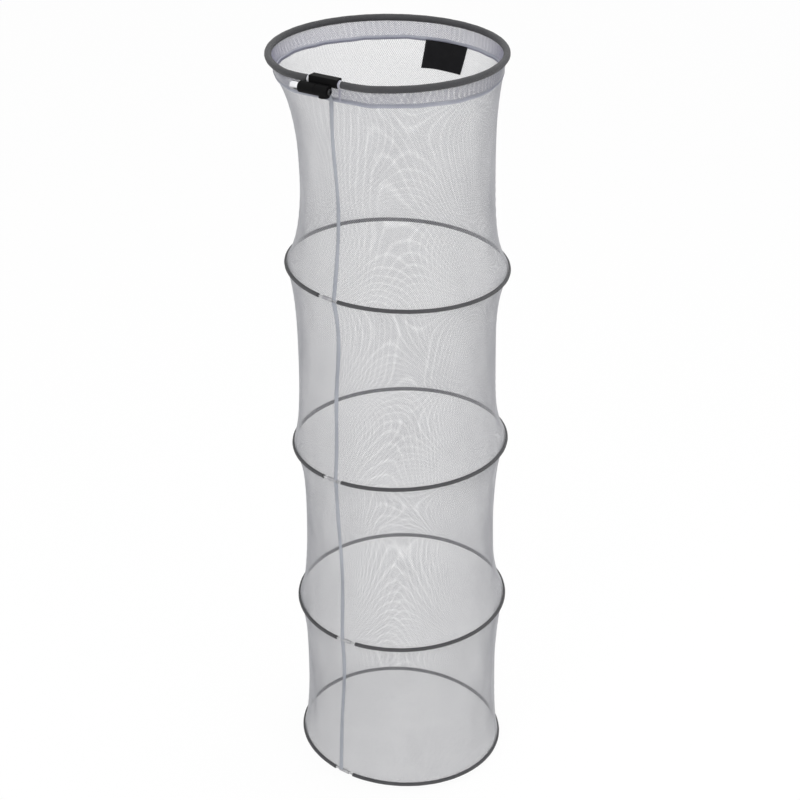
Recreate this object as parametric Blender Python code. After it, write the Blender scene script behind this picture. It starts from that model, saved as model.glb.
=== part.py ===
"""Keep net on five hoops, with a tilting head that screws on a bank stick.

Metres, +Z up. The origin is the mouth of the threaded boss under the head, where the bank
stick ends. The net hangs beside the stick: the mouth ring's centre lies towards +Y, and the
head faces -Y. Run it in Blender 4.5, from the text editor or with --background --python.
"""

import math

import bmesh
import bpy
from mathutils import Euler, Matrix, Vector

# Clearances and helpers that every piece shares
SEAT_GAP = 0.0003
SOFT_GAP = 0.0005
CUT_OVERRUN = 0.002

# Mouth ring: a circle of alloy rod that runs straight where the head holds it
MOUTH_RADIUS = 0.2013
MOUTH_FLAT = 0.013
MOUTH_CORNER = 0.003
MOUTH_ROD_RADIUS = 0.004
MOUTH_COVER_RADIUS = 0.00615
MOUTH_COVER_START = 0.0345
MOUTH_SEGMENTS = 38

# Lower hoops: sprung wire in a dark cover, joined in a bright ferrule
HOOP_RADIUS = 0.196
HOOP_SIZE_SHARES = (1.012, 1.009, 1.013, 1.0)
HOOP_WIRE_RADIUS = 0.002
HOOP_COVER_RADIUS = 0.0041
HOOP_SEGMENTS = 30
COVER_OPENING = 0.041
WIRE_END_GAP = 0.0006
FERRULE_RADIUS = 0.0033
FERRULE_LENGTH = 0.021

# Netting: the length of each section, from one hoop's plane to the next. A panel is a plain grid
# of bars that stands for the fine mesh: each pair of shares is a level bar's top and bottom
SECTION_1 = 0.3883
SECTION_2 = 0.3541
SECTION_3 = 0.3425
SECTION_4 = 0.3271
NET_THICKNESS = 0.001
FLARE_LENGTH = 0.050
DRIFT_LENGTH = 0.080
PANEL_COLUMNS = 16
PANEL_BAR = 0.012
PANEL_BAR_SHARES = ((0.0, 0.03), (0.155, 0.195), (0.48, 0.52), (0.805, 0.845), (0.97, 1.0))
WAIST_SHARES = (0.840, 0.898, 0.889, 0.934)
BELLY_SHARES = ((-0.003, -0.002), (-0.030, -0.019), (-0.011, -0.007), (0.0065, 0.004))
SEAM_WIDTH = 0.006
SEAM_THICKNESS = 0.001

# How the hanging hoops sit: sideways shift as shares of the hoop's radius, and lean in degrees
SWAY_SHARES = ((0.073, 0.047), (0.091, 0.058), (0.106, 0.0675), (0.103, 0.065))
HOOP_LEAN_DEG = ((-0.7, 2.2), (0.3, -1.6), (0.8, -0.2), (-2.7, 1.4))
HOOP_JOIN_DEG = (-94.5, -95.5, -89.5, -92.5)
SEAM_DEG = (-87.0, -90.5, -93.0, -91.5, -94.5)
SEAM_BOW_DEG = (-5.5, -2.5, -3.0, -2.0)

# Base: a flat net inside the lowest hoop
BASE_PITCH = 0.037
BASE_STRAND = 0.0028
BASE_THICKNESS = 0.0015
BASE_TURN_DEG = 38.0
BASE_SMALLEST_GAP_SHARE = 0.12

# Hem and label
HEM_DEPTH = 0.032
HEM_THICKNESS = 0.0012
HEM_DRAW_START = 0.014
HEM_FLARE = 0.064
LABEL_DEG = 90.0
LABEL_LEAN_DEG = 3.6
LABEL_COLUMNS = 9
LABEL_WIDTH = 0.0915
LABEL_HEIGHT = 0.053
LABEL_THICKNESS = 0.001
LABEL_DROP = 0.003
LABEL_GAP = 0.001

# Head block, which holds both ends of the mouth ring
BLOCK_LEFT = 0.026
BLOCK_RIGHT = 0.029
BLOCK_OUTER = 0.0072
BLOCK_INNER = 0.0092
BLOCK_TOP = 0.0086
BLOCK_BOTTOM = 0.0068
BLOCK_EDGE = 0.0014
SOCKET_WALL = 0.008
SCREW_PLACE = 0.016
SCREW_RADIUS = 0.0016
SCREW_BITE = 0.003
SCREW_HEAD_RADIUS = 0.0032
SCREW_HEAD_HEIGHT = 0.0018
WRAP_LENGTH = 0.0046
WRAP_RADIUS = 0.0072
WRAP_TAIL = 0.018
WRAP_TAIL_THICKNESS = 0.0014

# Hinge that the net tilts on, along X, outside the block and below it
HINGE_OUT = 0.0122
HINGE_BELOW = 0.0114
HOUSING_RADIUS = 0.0096
HOUSING_LEFT = 0.039
HOUSING_RIGHT = 0.007
HOUSING_EDGE = 0.0012
SWING_GAP = 0.001

# Knuckle with the threaded boss
BOSS_SHIFT = 0.008
BOSS_DROP = 0.0108
BOSS_RADIUS = 0.0092
BOSS_EDGE = 0.0008
INSERT_RADIUS = 0.0062
THREAD_CORE_RADIUS = 0.0041
INSERT_LENGTH = 0.007

# Pivot bolt
BOLT_RADIUS = 0.0025
BOLT_HEAD_RADIUS = 0.0052
BOLT_HEAD_HEIGHT = 0.0032
BOLT_TAIL = 0.0012
HEX_RADIUS = 0.0024
HEX_DEPTH = 0.0018

# Tilt lock: a toothed ring across the joint, which the button pushes into the knuckle
GEAR_LENGTH = 0.007
GEAR_TIP_RADIUS = 0.0064
GEAR_ROOT_RADIUS = 0.0056
GEAR_TEETH = 12
SHOULDER = 0.003
BUTTON_RADIUS = 0.0072
BUTTON_OUT = 0.0165
BUTTON_GUIDE = 0.007
BUTTON_EDGE = 0.0018
PUSH_ROD_RADIUS = 0.001
PUSH_ROD_PLACE = 0.0045
SPRING_RADIUS = 0.0064
SPRING_WIRE = 0.00045
SPRING_TURNS = 5
SPRING_STEPS = 8

# Places that follow from the sizes above
SECTIONS = (SECTION_1, SECTION_2, SECTION_3, SECTION_4)
HINGE = Vector((-BOSS_SHIFT, 0, BOSS_DROP))
BLOCK = HINGE + Vector((0, HINGE_OUT, HINGE_BELOW))
MOUTH = BLOCK + Vector((0, MOUTH_RADIUS - MOUTH_FLAT, 0))
ROUND_SIDES = 28
SMALL_SIDES = 16


def clear_scene():
    for old in list(bpy.data.objects):
        bpy.data.objects.remove(old, do_unlink=True)


def make_material(name, colour, roughness, metallic=0.0):
    material = bpy.data.materials.new(name)
    material.use_nodes = True
    shader = material.node_tree.nodes["Principled BSDF"]
    shader.inputs["Base Color"].default_value = (*colour, 1)
    shader.inputs["Roughness"].default_value = roughness
    shader.inputs["Metallic"].default_value = metallic
    material.diffuse_color = (*colour, 1)
    return material


def materials():
    return {
        "block": make_material("black nylon", (0.012, 0.012, 0.014), 0.45),
        "alloy": make_material("alloy rod", (0.72, 0.73, 0.75), 0.30, 1.0),
        "steel": make_material("bright steel", (0.62, 0.63, 0.65), 0.25, 1.0),
        "brass": make_material("brass", (0.72, 0.52, 0.22), 0.35, 1.0),
        "chrome": make_material("polished button", (0.85, 0.86, 0.88), 0.12, 1.0),
        "dark screw": make_material("blackened screw", (0.05, 0.05, 0.055), 0.4, 1.0),
        "cover": make_material("dark braided cover", (0.045, 0.046, 0.048), 0.8),
        "net": make_material("pale net", (0.46, 0.47, 0.50), 0.7),
        "hem": make_material("hem tape", (0.42, 0.43, 0.48), 0.8),
        "seam": make_material("seam tape", (0.28, 0.30, 0.36), 0.8),
        "label": make_material("black label", (0.01, 0.01, 0.011), 0.85),
    }


def world_place(empty):
    """None of the empties is turned or scaled, so their places only add up."""
    place = Vector()
    while empty:
        place += empty.location
        empty = empty.parent
    return place


def add_empty(name, place, parent=None):
    empty = bpy.data.objects.new(name, None)
    bpy.context.scene.collection.objects.link(empty)
    empty.parent = parent
    empty.location = place - world_place(parent)
    return empty


def add_object(name, bm, place, material=None, parent=None, turn=(0, 0, 0), smooth_deg=30):
    """Turns a bmesh into an object whose origin is at a world place."""
    bmesh.ops.recalc_face_normals(bm, faces=bm.faces)
    mesh = bpy.data.meshes.new(name)
    bm.to_mesh(mesh)
    bm.free()
    mesh.shade_smooth()
    mesh.set_sharp_from_angle(angle=math.radians(smooth_deg))
    obj = bpy.data.objects.new(name, mesh)
    bpy.context.scene.collection.objects.link(obj)
    obj.parent = parent
    obj.location = place - world_place(parent)
    obj.rotation_euler = turn
    if material:
        mesh.materials.append(material)
    return obj


def boolean(obj, other, operation):
    """Keeps the other object as a hidden helper that stays where the object is."""
    modifier = obj.modifiers.new(operation.title() + " " + other.name, "BOOLEAN")
    modifier.operation = operation
    modifier.solver = "EXACT"
    modifier.object = other
    other.hide_render = True
    other.display_type = "WIRE"
    other.hide_set(True)


def cut(obj, other):
    boolean(obj, other, "DIFFERENCE")


def join(obj, other):
    boolean(obj, other, "UNION")


def rod_bmesh(start, end, radius, sides=ROUND_SIDES, bore=0, edge=0):
    """A straight rod or tube from start to end along X, Y or Z, round its own axis."""
    along = end - start
    bm = bmesh.new()
    bmesh.ops.create_circle(bm, cap_ends=not bore, radius=radius, segments=sides)
    if bore:
        outer = bm.edges[:]
        inner = bmesh.ops.create_circle(bm, radius=bore, segments=sides)["verts"]
        inner_edges = [edge_ for edge_ in bm.edges if edge_.verts[0] in inner and edge_.verts[1] in inner]
        bmesh.ops.bridge_loops(bm, edges=outer + inner_edges)
    extruded = bmesh.ops.extrude_face_region(bm, geom=bm.faces[:])["geom"]
    moved = [item for item in extruded if isinstance(item, bmesh.types.BMVert)]
    bmesh.ops.translate(bm, vec=(0, 0, along.length), verts=moved)
    if edge:
        rims = [rim for rim in bm.edges if abs(rim.verts[0].co.z - rim.verts[1].co.z) < edge / 2]
        bmesh.ops.bevel(bm, geom=rims, offset=edge, segments=2, profile=0.5, affect="EDGES")
    turn = along.to_track_quat("Z", "Y").to_matrix().to_4x4()
    bmesh.ops.transform(bm, matrix=Matrix.Translation(start) @ turn, verts=bm.verts)
    return bm


def box_bmesh(centre, size, edge=0):
    bm = bmesh.new()
    bmesh.ops.create_cube(bm, size=1)
    bmesh.ops.scale(bm, vec=size, verts=bm.verts)
    bmesh.ops.translate(bm, vec=centre, verts=bm.verts)
    if edge:
        bmesh.ops.bevel(bm, geom=bm.edges[:], offset=edge, segments=2, profile=0.5, affect="EDGES")
    return bm


def loft_bmesh(loops, closed_path, closed_loops=True):
    """Skins equal loops of points, one after another, and caps the two ends of an open path."""
    bm = bmesh.new()
    rows = [[bm.verts.new(point) for point in loop] for loop in loops]
    pairs = list(zip(rows, rows[1:]))
    if closed_path:
        pairs.append((rows[-1], rows[0]))
    count = len(rows[0])
    for here, there in pairs:
        for step in range(count if closed_loops else count - 1):
            after = (step + 1) % count
            bm.faces.new((here[step], here[after], there[after], there[step]))
    if not closed_path:
        bm.faces.new(rows[0])
        bm.faces.new(rows[-1])
    return bm


def sweep_bmesh(path, radius, sides, bore=0, closed=False):
    """A tube round a flat path about +Z. A bore runs through to both ends."""
    outer_loops = []
    inner_loops = []
    last = len(path) - 1
    for step, point in enumerate(path):
        before = path[step - 1] if step or closed else point
        after = path[(step + 1) % len(path)] if step < last or closed else point
        into = (point - before).normalized() if point != before else (after - point).normalized()
        out_of = (after - point).normalized() if after != point else into
        along = (into + out_of).normalized()
        mitre = 1 / max(along.dot(into), 0.5)
        side = along.cross(Vector((0, 0, 1)))
        for loops, size in ((outer_loops, radius), (inner_loops, bore)):
            loop = []
            for corner in range(sides):
                angle = math.tau * corner / sides
                sideways = side * (mitre * size * math.cos(angle))
                loop.append(point + sideways + Vector((0, 0, size * math.sin(angle))))
            loops.append(loop)
    if not bore:
        return loft_bmesh(outer_loops, closed)
    bm = bmesh.new()
    for loops in (outer_loops, inner_loops):
        rows = [[bm.verts.new(point) for point in loop] for loop in loops]
        for here, there in zip(rows, rows[1:]):
            for corner in range(sides):
                after = (corner + 1) % sides
                bm.faces.new((here[corner], here[after], there[after], there[corner]))
        if loops is outer_loops:
            outer_rows = rows
    for end in (0, -1):
        for corner in range(sides):
            after = (corner + 1) % sides
            ring = (outer_rows[end][corner], outer_rows[end][after], rows[end][after], rows[end][corner])
            bm.faces.new(ring)
    return bm


def direction(degrees):
    angle = math.radians(degrees)
    return Vector((math.cos(angle), math.sin(angle), 0))


def mouth_reach(degrees):
    """Distance from the mouth's centre to the ring, which runs straight past the head at -Y."""
    off_head = math.radians(degrees + 90)
    circle = MOUTH_RADIUS
    if math.cos(off_head) <= 0.1:
        return circle
    chord = (MOUTH_RADIUS - MOUTH_FLAT) / math.cos(off_head)
    nearer = min(circle, chord)
    blend = math.exp((nearer - circle) / MOUTH_CORNER) + math.exp((nearer - chord) / MOUTH_CORNER)
    return nearer - MOUTH_CORNER * math.log(blend)


def mouth_point(degrees):
    return direction(degrees) * mouth_reach(degrees)


def mouth_path(first_x):
    """Points round the mouth from first_x right of the head to the same distance left of it."""
    flat = MOUTH_RADIUS - MOUTH_FLAT
    cover_start = math.degrees(math.atan2(MOUTH_COVER_START, flat))
    steps = [cover_start + (360 - 2 * cover_start) * step / MOUTH_SEGMENTS for step in range(MOUTH_SEGMENTS + 1)]
    points = [mouth_point(step - 90) for step in steps]
    if first_x < MOUTH_COVER_START:
        points.insert(0, Vector((first_x, -flat, 0)))
        points.append(Vector((-first_x, -flat, 0)))
    return points


def hoop_radius(number):
    return HOOP_RADIUS * HOOP_SIZE_SHARES[number]


def hoop_angles(number):
    """Angles of a hoop's corners, from one side of its join to the other."""
    join_at = HOOP_JOIN_DEG[number]
    half = math.degrees(COVER_OPENING / 2 / hoop_radius(number))
    first = join_at + half
    span = 360 - 2 * half
    return [first + span * step / HOOP_SEGMENTS for step in range(HOOP_SEGMENTS + 1)]


def hoop_centre(number):
    share_x, share_y = SWAY_SHARES[number]
    fall = sum(SECTIONS[: number + 1])
    return MOUTH + Vector((share_x * HOOP_RADIUS, share_y * HOOP_RADIUS, -fall))


def hoop_turn(number):
    lean_x, lean_y = HOOP_LEAN_DEG[number]
    return Euler((math.radians(lean_x), math.radians(lean_y), 0))


def hoop_point(number, degrees, above):
    """A world point on a leaning hoop's centre line, moved along the hoop's own axis."""
    flat = direction(degrees) * hoop_radius(number) + Vector((0, 0, above))
    flat.rotate(hoop_turn(number))
    return hoop_centre(number) + flat


def panel_lines():
    """Degrees from the seam of each upright bar's two edges, in order. The first bar is the seam's."""
    half = math.degrees(PANEL_BAR / 2 / HOOP_RADIUS)
    lines = []
    for column in range(PANEL_COLUMNS):
        middle = 360 * column / PANEL_COLUMNS
        lines += [middle - half, middle + half]
    return lines


def panel_rows():
    return [share for bar in PANEL_BAR_SHARES for share in bar]


def draw_in(section, share):
    """How far down the net is from where it starts to draw in, and 0 at a hoop to 1 far from one."""
    down = share * SECTIONS[section]
    up = (1 - share) * SECTIONS[section]
    upper_flare = FLARE_LENGTH
    if section == 0:
        up = (1 - share) * (SECTION_1 - HEM_DEPTH)
        down = SECTION_1 - HEM_DRAW_START - up
        upper_flare = HEM_FLARE
    return down, (1 - math.exp(-down / upper_flare)) * (1 - math.exp(-up / FLARE_LENGTH))


def seam_degrees(section, share):
    seam = SEAM_DEG[section] * (1 - share) + SEAM_DEG[section + 1] * share
    return seam + SEAM_BOW_DEG[section] * draw_in(section, share)[1]


def panel_corner(section, share, from_seam):
    """A point on a panel, from_seam degrees round from the seam."""
    return net_point(section, share, seam_degrees(section, share) + from_seam)


def net_point(section, share, degrees):
    """A point half way through the net of one section, share of the way down it."""
    down, flare = draw_in(section, share)
    reach = HOOP_COVER_RADIUS + SEAT_GAP
    if section:
        top = hoop_point(section - 1, degrees, -reach)
        top_centre = hoop_centre(section - 1)
    else:
        top = MOUTH + mouth_point(degrees) - Vector((0, 0, HEM_DEPTH + SEAT_GAP))
        top_centre = MOUTH.copy()
    bottom = hoop_point(section, degrees, reach)
    bottom_centre = hoop_centre(section)
    shrink = 1 - (1 - WAIST_SHARES[section]) * flare
    drift = (1 - share) * math.exp(-down / DRIFT_LENGTH)
    plain_centre = top_centre.lerp(bottom_centre, share)
    point = top.lerp(bottom, share)
    arm = point - plain_centre
    arm = Vector((arm.x * shrink, arm.y * shrink, arm.z))
    sideways = (top_centre - bottom_centre) * (drift - (1 - share))
    belly_x, belly_y = BELLY_SHARES[section]
    belly = Vector((belly_x, belly_y, 0)) * HOOP_RADIUS * flare
    return plain_centre + Vector((sideways.x, sideways.y, 0)) + belly + arm


def panel_point(section, share, from_seam, lift):
    """A point on the flat facets of a panel, lifted off them along the facet's normal."""
    rows = panel_rows()
    row = max(index for index, value in enumerate(rows[:-1]) if value <= share or index == 0)
    across = (share - rows[row]) / (rows[row + 1] - rows[row])
    lines = panel_lines()
    lines.append(lines[0] + 360)
    left = max(index for index, value in enumerate(lines[:-1]) if value <= from_seam or index == 0)
    side = (from_seam - lines[left]) / (lines[left + 1] - lines[left])
    corners = [
        [panel_corner(section, rows[row + below], lines[left + right]) for right in (0, 1)]
        for below in (0, 1)
    ]
    upper = corners[0][0].lerp(corners[0][1], side)
    lower = corners[1][0].lerp(corners[1][1], side)
    width = corners[0][1] - corners[0][0] + corners[1][1] - corners[1][0]
    outward = width.cross(upper - lower).normalized()
    return upper.lerp(lower, across) + outward * lift


def build_materials_and_axes():
    """Parents for the moving bodies, each on its joint's axis."""
    axes = {"root": add_empty("bank_stick_end", Vector())}
    axes["mouth"] = add_empty("tilt_axis", HINGE, axes["root"])
    above = axes["mouth"]
    for number in range(len(SECTIONS)):
        axes[number] = add_empty(f"hoop_{number + 2}_slide", hoop_centre(number), above)
        above = axes[number]
    return axes


def gear_bmesh(start, end, clearance=0):
    """Toothed prism along X; clearance makes the hollow that the teeth slide in."""
    points = []
    tooth = math.tau / GEAR_TEETH
    for index in range(GEAR_TEETH):
        for share, radius in ((0.02, GEAR_ROOT_RADIUS), (0.3, GEAR_ROOT_RADIUS), (0.42, GEAR_TIP_RADIUS), (0.9, GEAR_TIP_RADIUS)):
            wider = clearance / radius / tooth
            if radius == GEAR_TIP_RADIUS:
                share += wider if share > 0.6 else -wider
            else:
                share += wider if share < 0.2 else -wider
            angle = tooth * (index + share)
            reach = radius + clearance
            points.append(Vector((0, reach * math.cos(angle), reach * math.sin(angle))))
    return loft_bmesh([[start + point for point in points], [end + point for point in points]], False)


def along_hinge(from_block_middle):
    """A point on the hinge's axis, by its distance right of the block's middle."""
    return HINGE + Vector((from_block_middle, 0, 0))


def build_head_block(mats, axes):
    parent = axes["mouth"]
    size = Vector((BLOCK_LEFT + BLOCK_RIGHT, BLOCK_OUTER + BLOCK_INNER, BLOCK_BOTTOM + BLOCK_TOP))
    middle = BLOCK - HINGE + size / 2 - Vector((BLOCK_LEFT, BLOCK_OUTER, BLOCK_BOTTOM))
    block = add_object("head_block", box_bmesh(middle, size, BLOCK_EDGE), HINGE, mats["block"], parent)
    left, right = -HOUSING_LEFT, -HOUSING_RIGHT
    trimmed = Vector((right + CUT_OVERRUN, 0, 0))
    housing = rod_bmesh(Vector((left, 0, 0)), trimmed, HOUSING_RADIUS, edge=HOUSING_EDGE)
    join(block, add_object("housing_form", housing, HINGE, parent=parent))

    inner_end = right - GEAR_LENGTH / 2 - SEAT_GAP
    bore_end = inner_end - SHOULDER
    cutters = {
        "button_bore": rod_bmesh(
            Vector((left - CUT_OVERRUN, 0, 0)), Vector((bore_end, 0, 0)), BUTTON_RADIUS + SEAT_GAP
        ),
        "gear_bore": gear_bmesh(Vector((inner_end, 0, 0)), Vector((right + CUT_OVERRUN, 0, 0)), SEAT_GAP),
        "bolt_hole": rod_bmesh(
            Vector((bore_end - CUT_OVERRUN, 0, 0)),
            Vector((inner_end + CUT_OVERRUN, 0, 0)),
            BOLT_RADIUS + SEAT_GAP,
            SMALL_SIDES,
        ),
        "knuckle_swing": rod_bmesh(
            Vector((right, 0, 0)),
            Vector((BLOCK_RIGHT + CUT_OVERRUN, 0, 0)),
            BOSS_RADIUS + SWING_GAP,
        ),
    }
    for side, name in ((1, "upper"), (-1, "lower")):
        place = Vector((0, 0, side * PUSH_ROD_PLACE))
        cutters[f"{name}_rod_hole"] = rod_bmesh(
            place + Vector((bore_end - CUT_OVERRUN, 0, 0)),
            place + Vector((inner_end + CUT_OVERRUN, 0, 0)),
            PUSH_ROD_RADIUS + SEAT_GAP,
            SMALL_SIDES // 2,
        )
    ring_line = BLOCK - HINGE
    for side, reach, name in ((1, BLOCK_RIGHT, "right"), (-1, BLOCK_LEFT, "left")):
        cutters[f"{name}_socket"] = rod_bmesh(
            ring_line + Vector((side * SOCKET_WALL / 2, 0, 0)),
            ring_line + Vector((side * (reach + CUT_OVERRUN), 0, 0)),
            MOUTH_ROD_RADIUS + SEAT_GAP,
            SMALL_SIDES,
        )
        cutters[f"{name}_screw_hole"] = rod_bmesh(
            ring_line + Vector((side * SCREW_PLACE, 0, 0)),
            ring_line + Vector((side * SCREW_PLACE, BLOCK_INNER + CUT_OVERRUN, 0)),
            SCREW_RADIUS + SEAT_GAP,
            SMALL_SIDES // 2,
        )
    for name, bm in cutters.items():
        cut(block, add_object(name, bm, HINGE, parent=parent))


def build_knuckle(mats, axes):
    parent = axes["root"]
    left = SEAT_GAP - HOUSING_RIGHT
    right = BOSS_SHIFT + BOSS_RADIUS
    hub = rod_bmesh(along_hinge(left), along_hinge(right), HOUSING_RADIUS, edge=BOSS_EDGE)
    knuckle = add_object("knuckle", hub, Vector(), mats["block"], parent)
    boss = rod_bmesh(Vector(), Vector((0, 0, BOSS_DROP)), BOSS_RADIUS, edge=BOSS_EDGE)
    join(knuckle, add_object("boss_form", boss, Vector(), parent=parent))
    pocket_end = left + GEAR_LENGTH + SEAT_GAP
    cutters = {
        "gear_pocket": rod_bmesh(
            along_hinge(left - CUT_OVERRUN), along_hinge(pocket_end), GEAR_TIP_RADIUS + SEAT_GAP
        ),
        "pivot_hole": rod_bmesh(
            along_hinge(left), along_hinge(right + CUT_OVERRUN), BOLT_RADIUS + SEAT_GAP, SMALL_SIDES
        ),
        "insert_hole": rod_bmesh(
            Vector((0, 0, -CUT_OVERRUN)), Vector((0, 0, INSERT_LENGTH + SEAT_GAP)), INSERT_RADIUS + SEAT_GAP
        ),
    }
    for name, bm in cutters.items():
        cut(knuckle, add_object(name, bm, Vector(), parent=parent))

    insert = rod_bmesh(Vector(), Vector((0, 0, INSERT_LENGTH)), INSERT_RADIUS, bore=THREAD_CORE_RADIUS)
    add_object("thread_insert", insert, Vector(), mats["brass"], parent)


def build_pivot_bolt(mats, axes):
    """The bolt is tapped into the housing's shoulder, so it turns with the net."""
    parent = axes["mouth"]
    seat = BOSS_SHIFT + BOSS_RADIUS + SEAT_GAP
    tail = -HOUSING_RIGHT - GEAR_LENGTH / 2 - SEAT_GAP - SHOULDER - BOLT_TAIL
    head = rod_bmesh(
        Vector((seat, 0, 0)),
        Vector((seat + BOLT_HEAD_HEIGHT, 0, 0)),
        BOLT_HEAD_RADIUS,
        SMALL_SIDES,
        edge=BOSS_EDGE,
    )
    bolt = add_object("pivot_bolt", head, HINGE, mats["dark screw"], parent)
    shank = rod_bmesh(Vector((tail, 0, 0)), Vector((seat + HEX_DEPTH / 2, 0, 0)), BOLT_RADIUS, SMALL_SIDES)
    join(bolt, add_object("bolt_shank", shank, HINGE, parent=parent))
    outer = seat + BOLT_HEAD_HEIGHT
    socket = rod_bmesh(
        Vector((outer - HEX_DEPTH, 0, 0)), Vector((outer + CUT_OVERRUN, 0, 0)), HEX_RADIUS, 6
    )
    cut(bolt, add_object("hex_socket", socket, HINGE, parent=parent))


def build_tilt_lock(mats, axes):
    parent = axes["mouth"]
    gear_left = -HOUSING_RIGHT - GEAR_LENGTH / 2
    gear_place = HINGE + Vector((gear_left, 0, 0))
    gear = gear_bmesh(Vector(), Vector((GEAR_LENGTH, 0, 0)))
    lock_gear = add_object("lock_gear", gear, gear_place, mats["steel"], parent)
    bore = rod_bmesh(
        Vector((-CUT_OVERRUN, 0, 0)),
        Vector((GEAR_LENGTH + CUT_OVERRUN, 0, 0)),
        BOLT_RADIUS + SEAT_GAP,
        SMALL_SIDES,
    )
    cut(lock_gear, add_object("gear_bolt_hole", bore, gear_place, parent=parent))

    button_length = BUTTON_OUT + BUTTON_GUIDE
    inner_face = -HOUSING_LEFT + BUTTON_GUIDE
    button_place = HINGE + Vector((inner_face, 0, 0))
    cap = rod_bmesh(Vector((-button_length, 0, 0)), Vector(), BUTTON_RADIUS, edge=BUTTON_EDGE)
    button = add_object("release_button", cap, button_place, mats["chrome"], parent, smooth_deg=40)
    rod_end = gear_left - SEAT_GAP - inner_face
    for side, name in ((1, "upper"), (-1, "lower")):
        place = Vector((0, 0, side * PUSH_ROD_PLACE))
        rod = rod_bmesh(
            place + Vector((-BUTTON_GUIDE / 2, 0, 0)),
            place + Vector((rod_end, 0, 0)),
            PUSH_ROD_RADIUS,
            SMALL_SIDES // 2,
        )
        join(button, add_object(f"{name}_push_rod", rod, button_place, parent=parent))

    shoulder_face = -HOUSING_RIGHT - GEAR_LENGTH / 2 - SEAT_GAP - SHOULDER
    spring_length = shoulder_face - inner_face - 2 * (SEAT_GAP + SPRING_WIRE)
    curve = bpy.data.curves.new("button_spring", "CURVE")
    curve.dimensions = "3D"
    curve.bevel_depth = SPRING_WIRE
    curve.bevel_resolution = 1
    curve.use_fill_caps = True
    spline = curve.splines.new("POLY")
    steps = SPRING_TURNS * SPRING_STEPS
    spline.points.add(steps)
    for step in range(steps + 1):
        angle = math.tau * step / SPRING_STEPS
        place = spring_length * step / steps
        across = SPRING_RADIUS * math.cos(angle)
        upward = SPRING_RADIUS * math.sin(angle)
        spline.points[step].co = (place, across, upward, 1)
    curve.materials.append(mats["steel"])
    spring = bpy.data.objects.new("button_spring", curve)
    bpy.context.scene.collection.objects.link(spring)
    spring.parent = parent
    spring.location = Vector((inner_face + SEAT_GAP + SPRING_WIRE, 0, 0))
    pitch = spring_length / SPRING_TURNS
    print(f"button_spring: gap between turns {1000 * (pitch - 2 * SPRING_WIRE):.2f} mm")


def build_ring_screws(mats, axes):
    """Two screws from inside the net, through the block's wall and into the ring's ends."""
    parent = axes["mouth"]
    for side, name in ((1, "right"), (-1, "left")):
        place = BLOCK + Vector((side * SCREW_PLACE, BLOCK_INNER + SEAT_GAP, 0))
        tip = Vector((0, MOUTH_ROD_RADIUS - SCREW_BITE - BLOCK_INNER - SEAT_GAP, 0))
        top = Vector((0, SCREW_HEAD_HEIGHT, 0))
        loops = []
        for point, radius in (
            (tip, SCREW_RADIUS),
            (Vector(), SCREW_RADIUS),
            (Vector(), SCREW_HEAD_RADIUS),
            (top, SCREW_HEAD_RADIUS),
        ):
            loop = []
            for corner in range(SMALL_SIDES):
                angle = math.tau * corner / SMALL_SIDES
                loop.append(point + Vector((radius * math.cos(angle), 0, radius * math.sin(angle))))
            loops.append(loop)
        add_object(f"ring_screw_{name}", loft_bmesh(loops, False), place, mats["dark screw"], parent)


def build_mouth(mats, axes):
    parent = axes["mouth"]
    rod_start = SOCKET_WALL / 2 + SEAT_GAP
    rod = add_object(
        "mouth_ring_tube",
        sweep_bmesh(mouth_path(rod_start), MOUTH_ROD_RADIUS, 8),
        MOUTH,
        mats["alloy"],
        parent,
    )
    for side, name in ((1, "right"), (-1, "left")):
        place = BLOCK - MOUTH + Vector((side * SCREW_PLACE, 0, 0))
        hole = rod_bmesh(
            place + Vector((0, MOUTH_ROD_RADIUS - SCREW_BITE - SEAT_GAP, 0)),
            place + Vector((0, MOUTH_ROD_RADIUS + CUT_OVERRUN, 0)),
            SCREW_RADIUS + SEAT_GAP,
            SMALL_SIDES // 2,
        )
        cut(rod, add_object(f"{name}_rod_hole_in_ring", hole, MOUTH, parent=parent))
    cover = sweep_bmesh(mouth_path(MOUTH_COVER_START), MOUTH_COVER_RADIUS, 8, MOUTH_ROD_RADIUS + SEAT_GAP)
    add_object("mouth_ring_cover", cover, MOUTH, mats["cover"], parent)

    start = BLOCK_RIGHT + SEAT_GAP
    ring_line = BLOCK - MOUTH
    wrap = rod_bmesh(
        ring_line + Vector((start, 0, 0)),
        ring_line + Vector((start + WRAP_LENGTH, 0, 0)),
        WRAP_RADIUS,
        SMALL_SIDES,
        bore=MOUTH_ROD_RADIUS + SEAT_GAP,
    )
    collar = add_object("seam_wrap", wrap, MOUTH, mats["hem"], parent)
    tail_out = HEM_THICKNESS / 2 + SOFT_GAP + WRAP_TAIL_THICKNESS / 2
    tail_top = -(MOUTH_ROD_RADIUS + WRAP_RADIUS) / 2
    tail_size = (WRAP_LENGTH, WRAP_TAIL_THICKNESS, WRAP_TAIL)
    tail_centre = ring_line + Vector((start + WRAP_LENGTH / 2, -tail_out, tail_top - WRAP_TAIL / 2))
    tail = add_object("wrap_tail", box_bmesh(tail_centre, tail_size), MOUTH, parent=parent)
    join(collar, tail)

    top = -max(BLOCK_BOTTOM, WRAP_RADIUS) - SEAT_GAP
    loops = []
    steps = MOUTH_SEGMENTS
    for step in range(steps):
        degrees = 360 * (step + 0.5) / steps - 90
        out = direction(degrees) * (HEM_THICKNESS / 2)
        upper = mouth_point(degrees) + Vector((0, 0, top))
        lower = net_point(0, 0, degrees) - MOUTH + Vector((0, 0, SEAT_GAP))
        loops.append([upper + out, upper - out, lower - out, lower + out])
    add_object("hem_band", loft_bmesh(loops, True), MOUTH, mats["hem"], parent)


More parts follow.
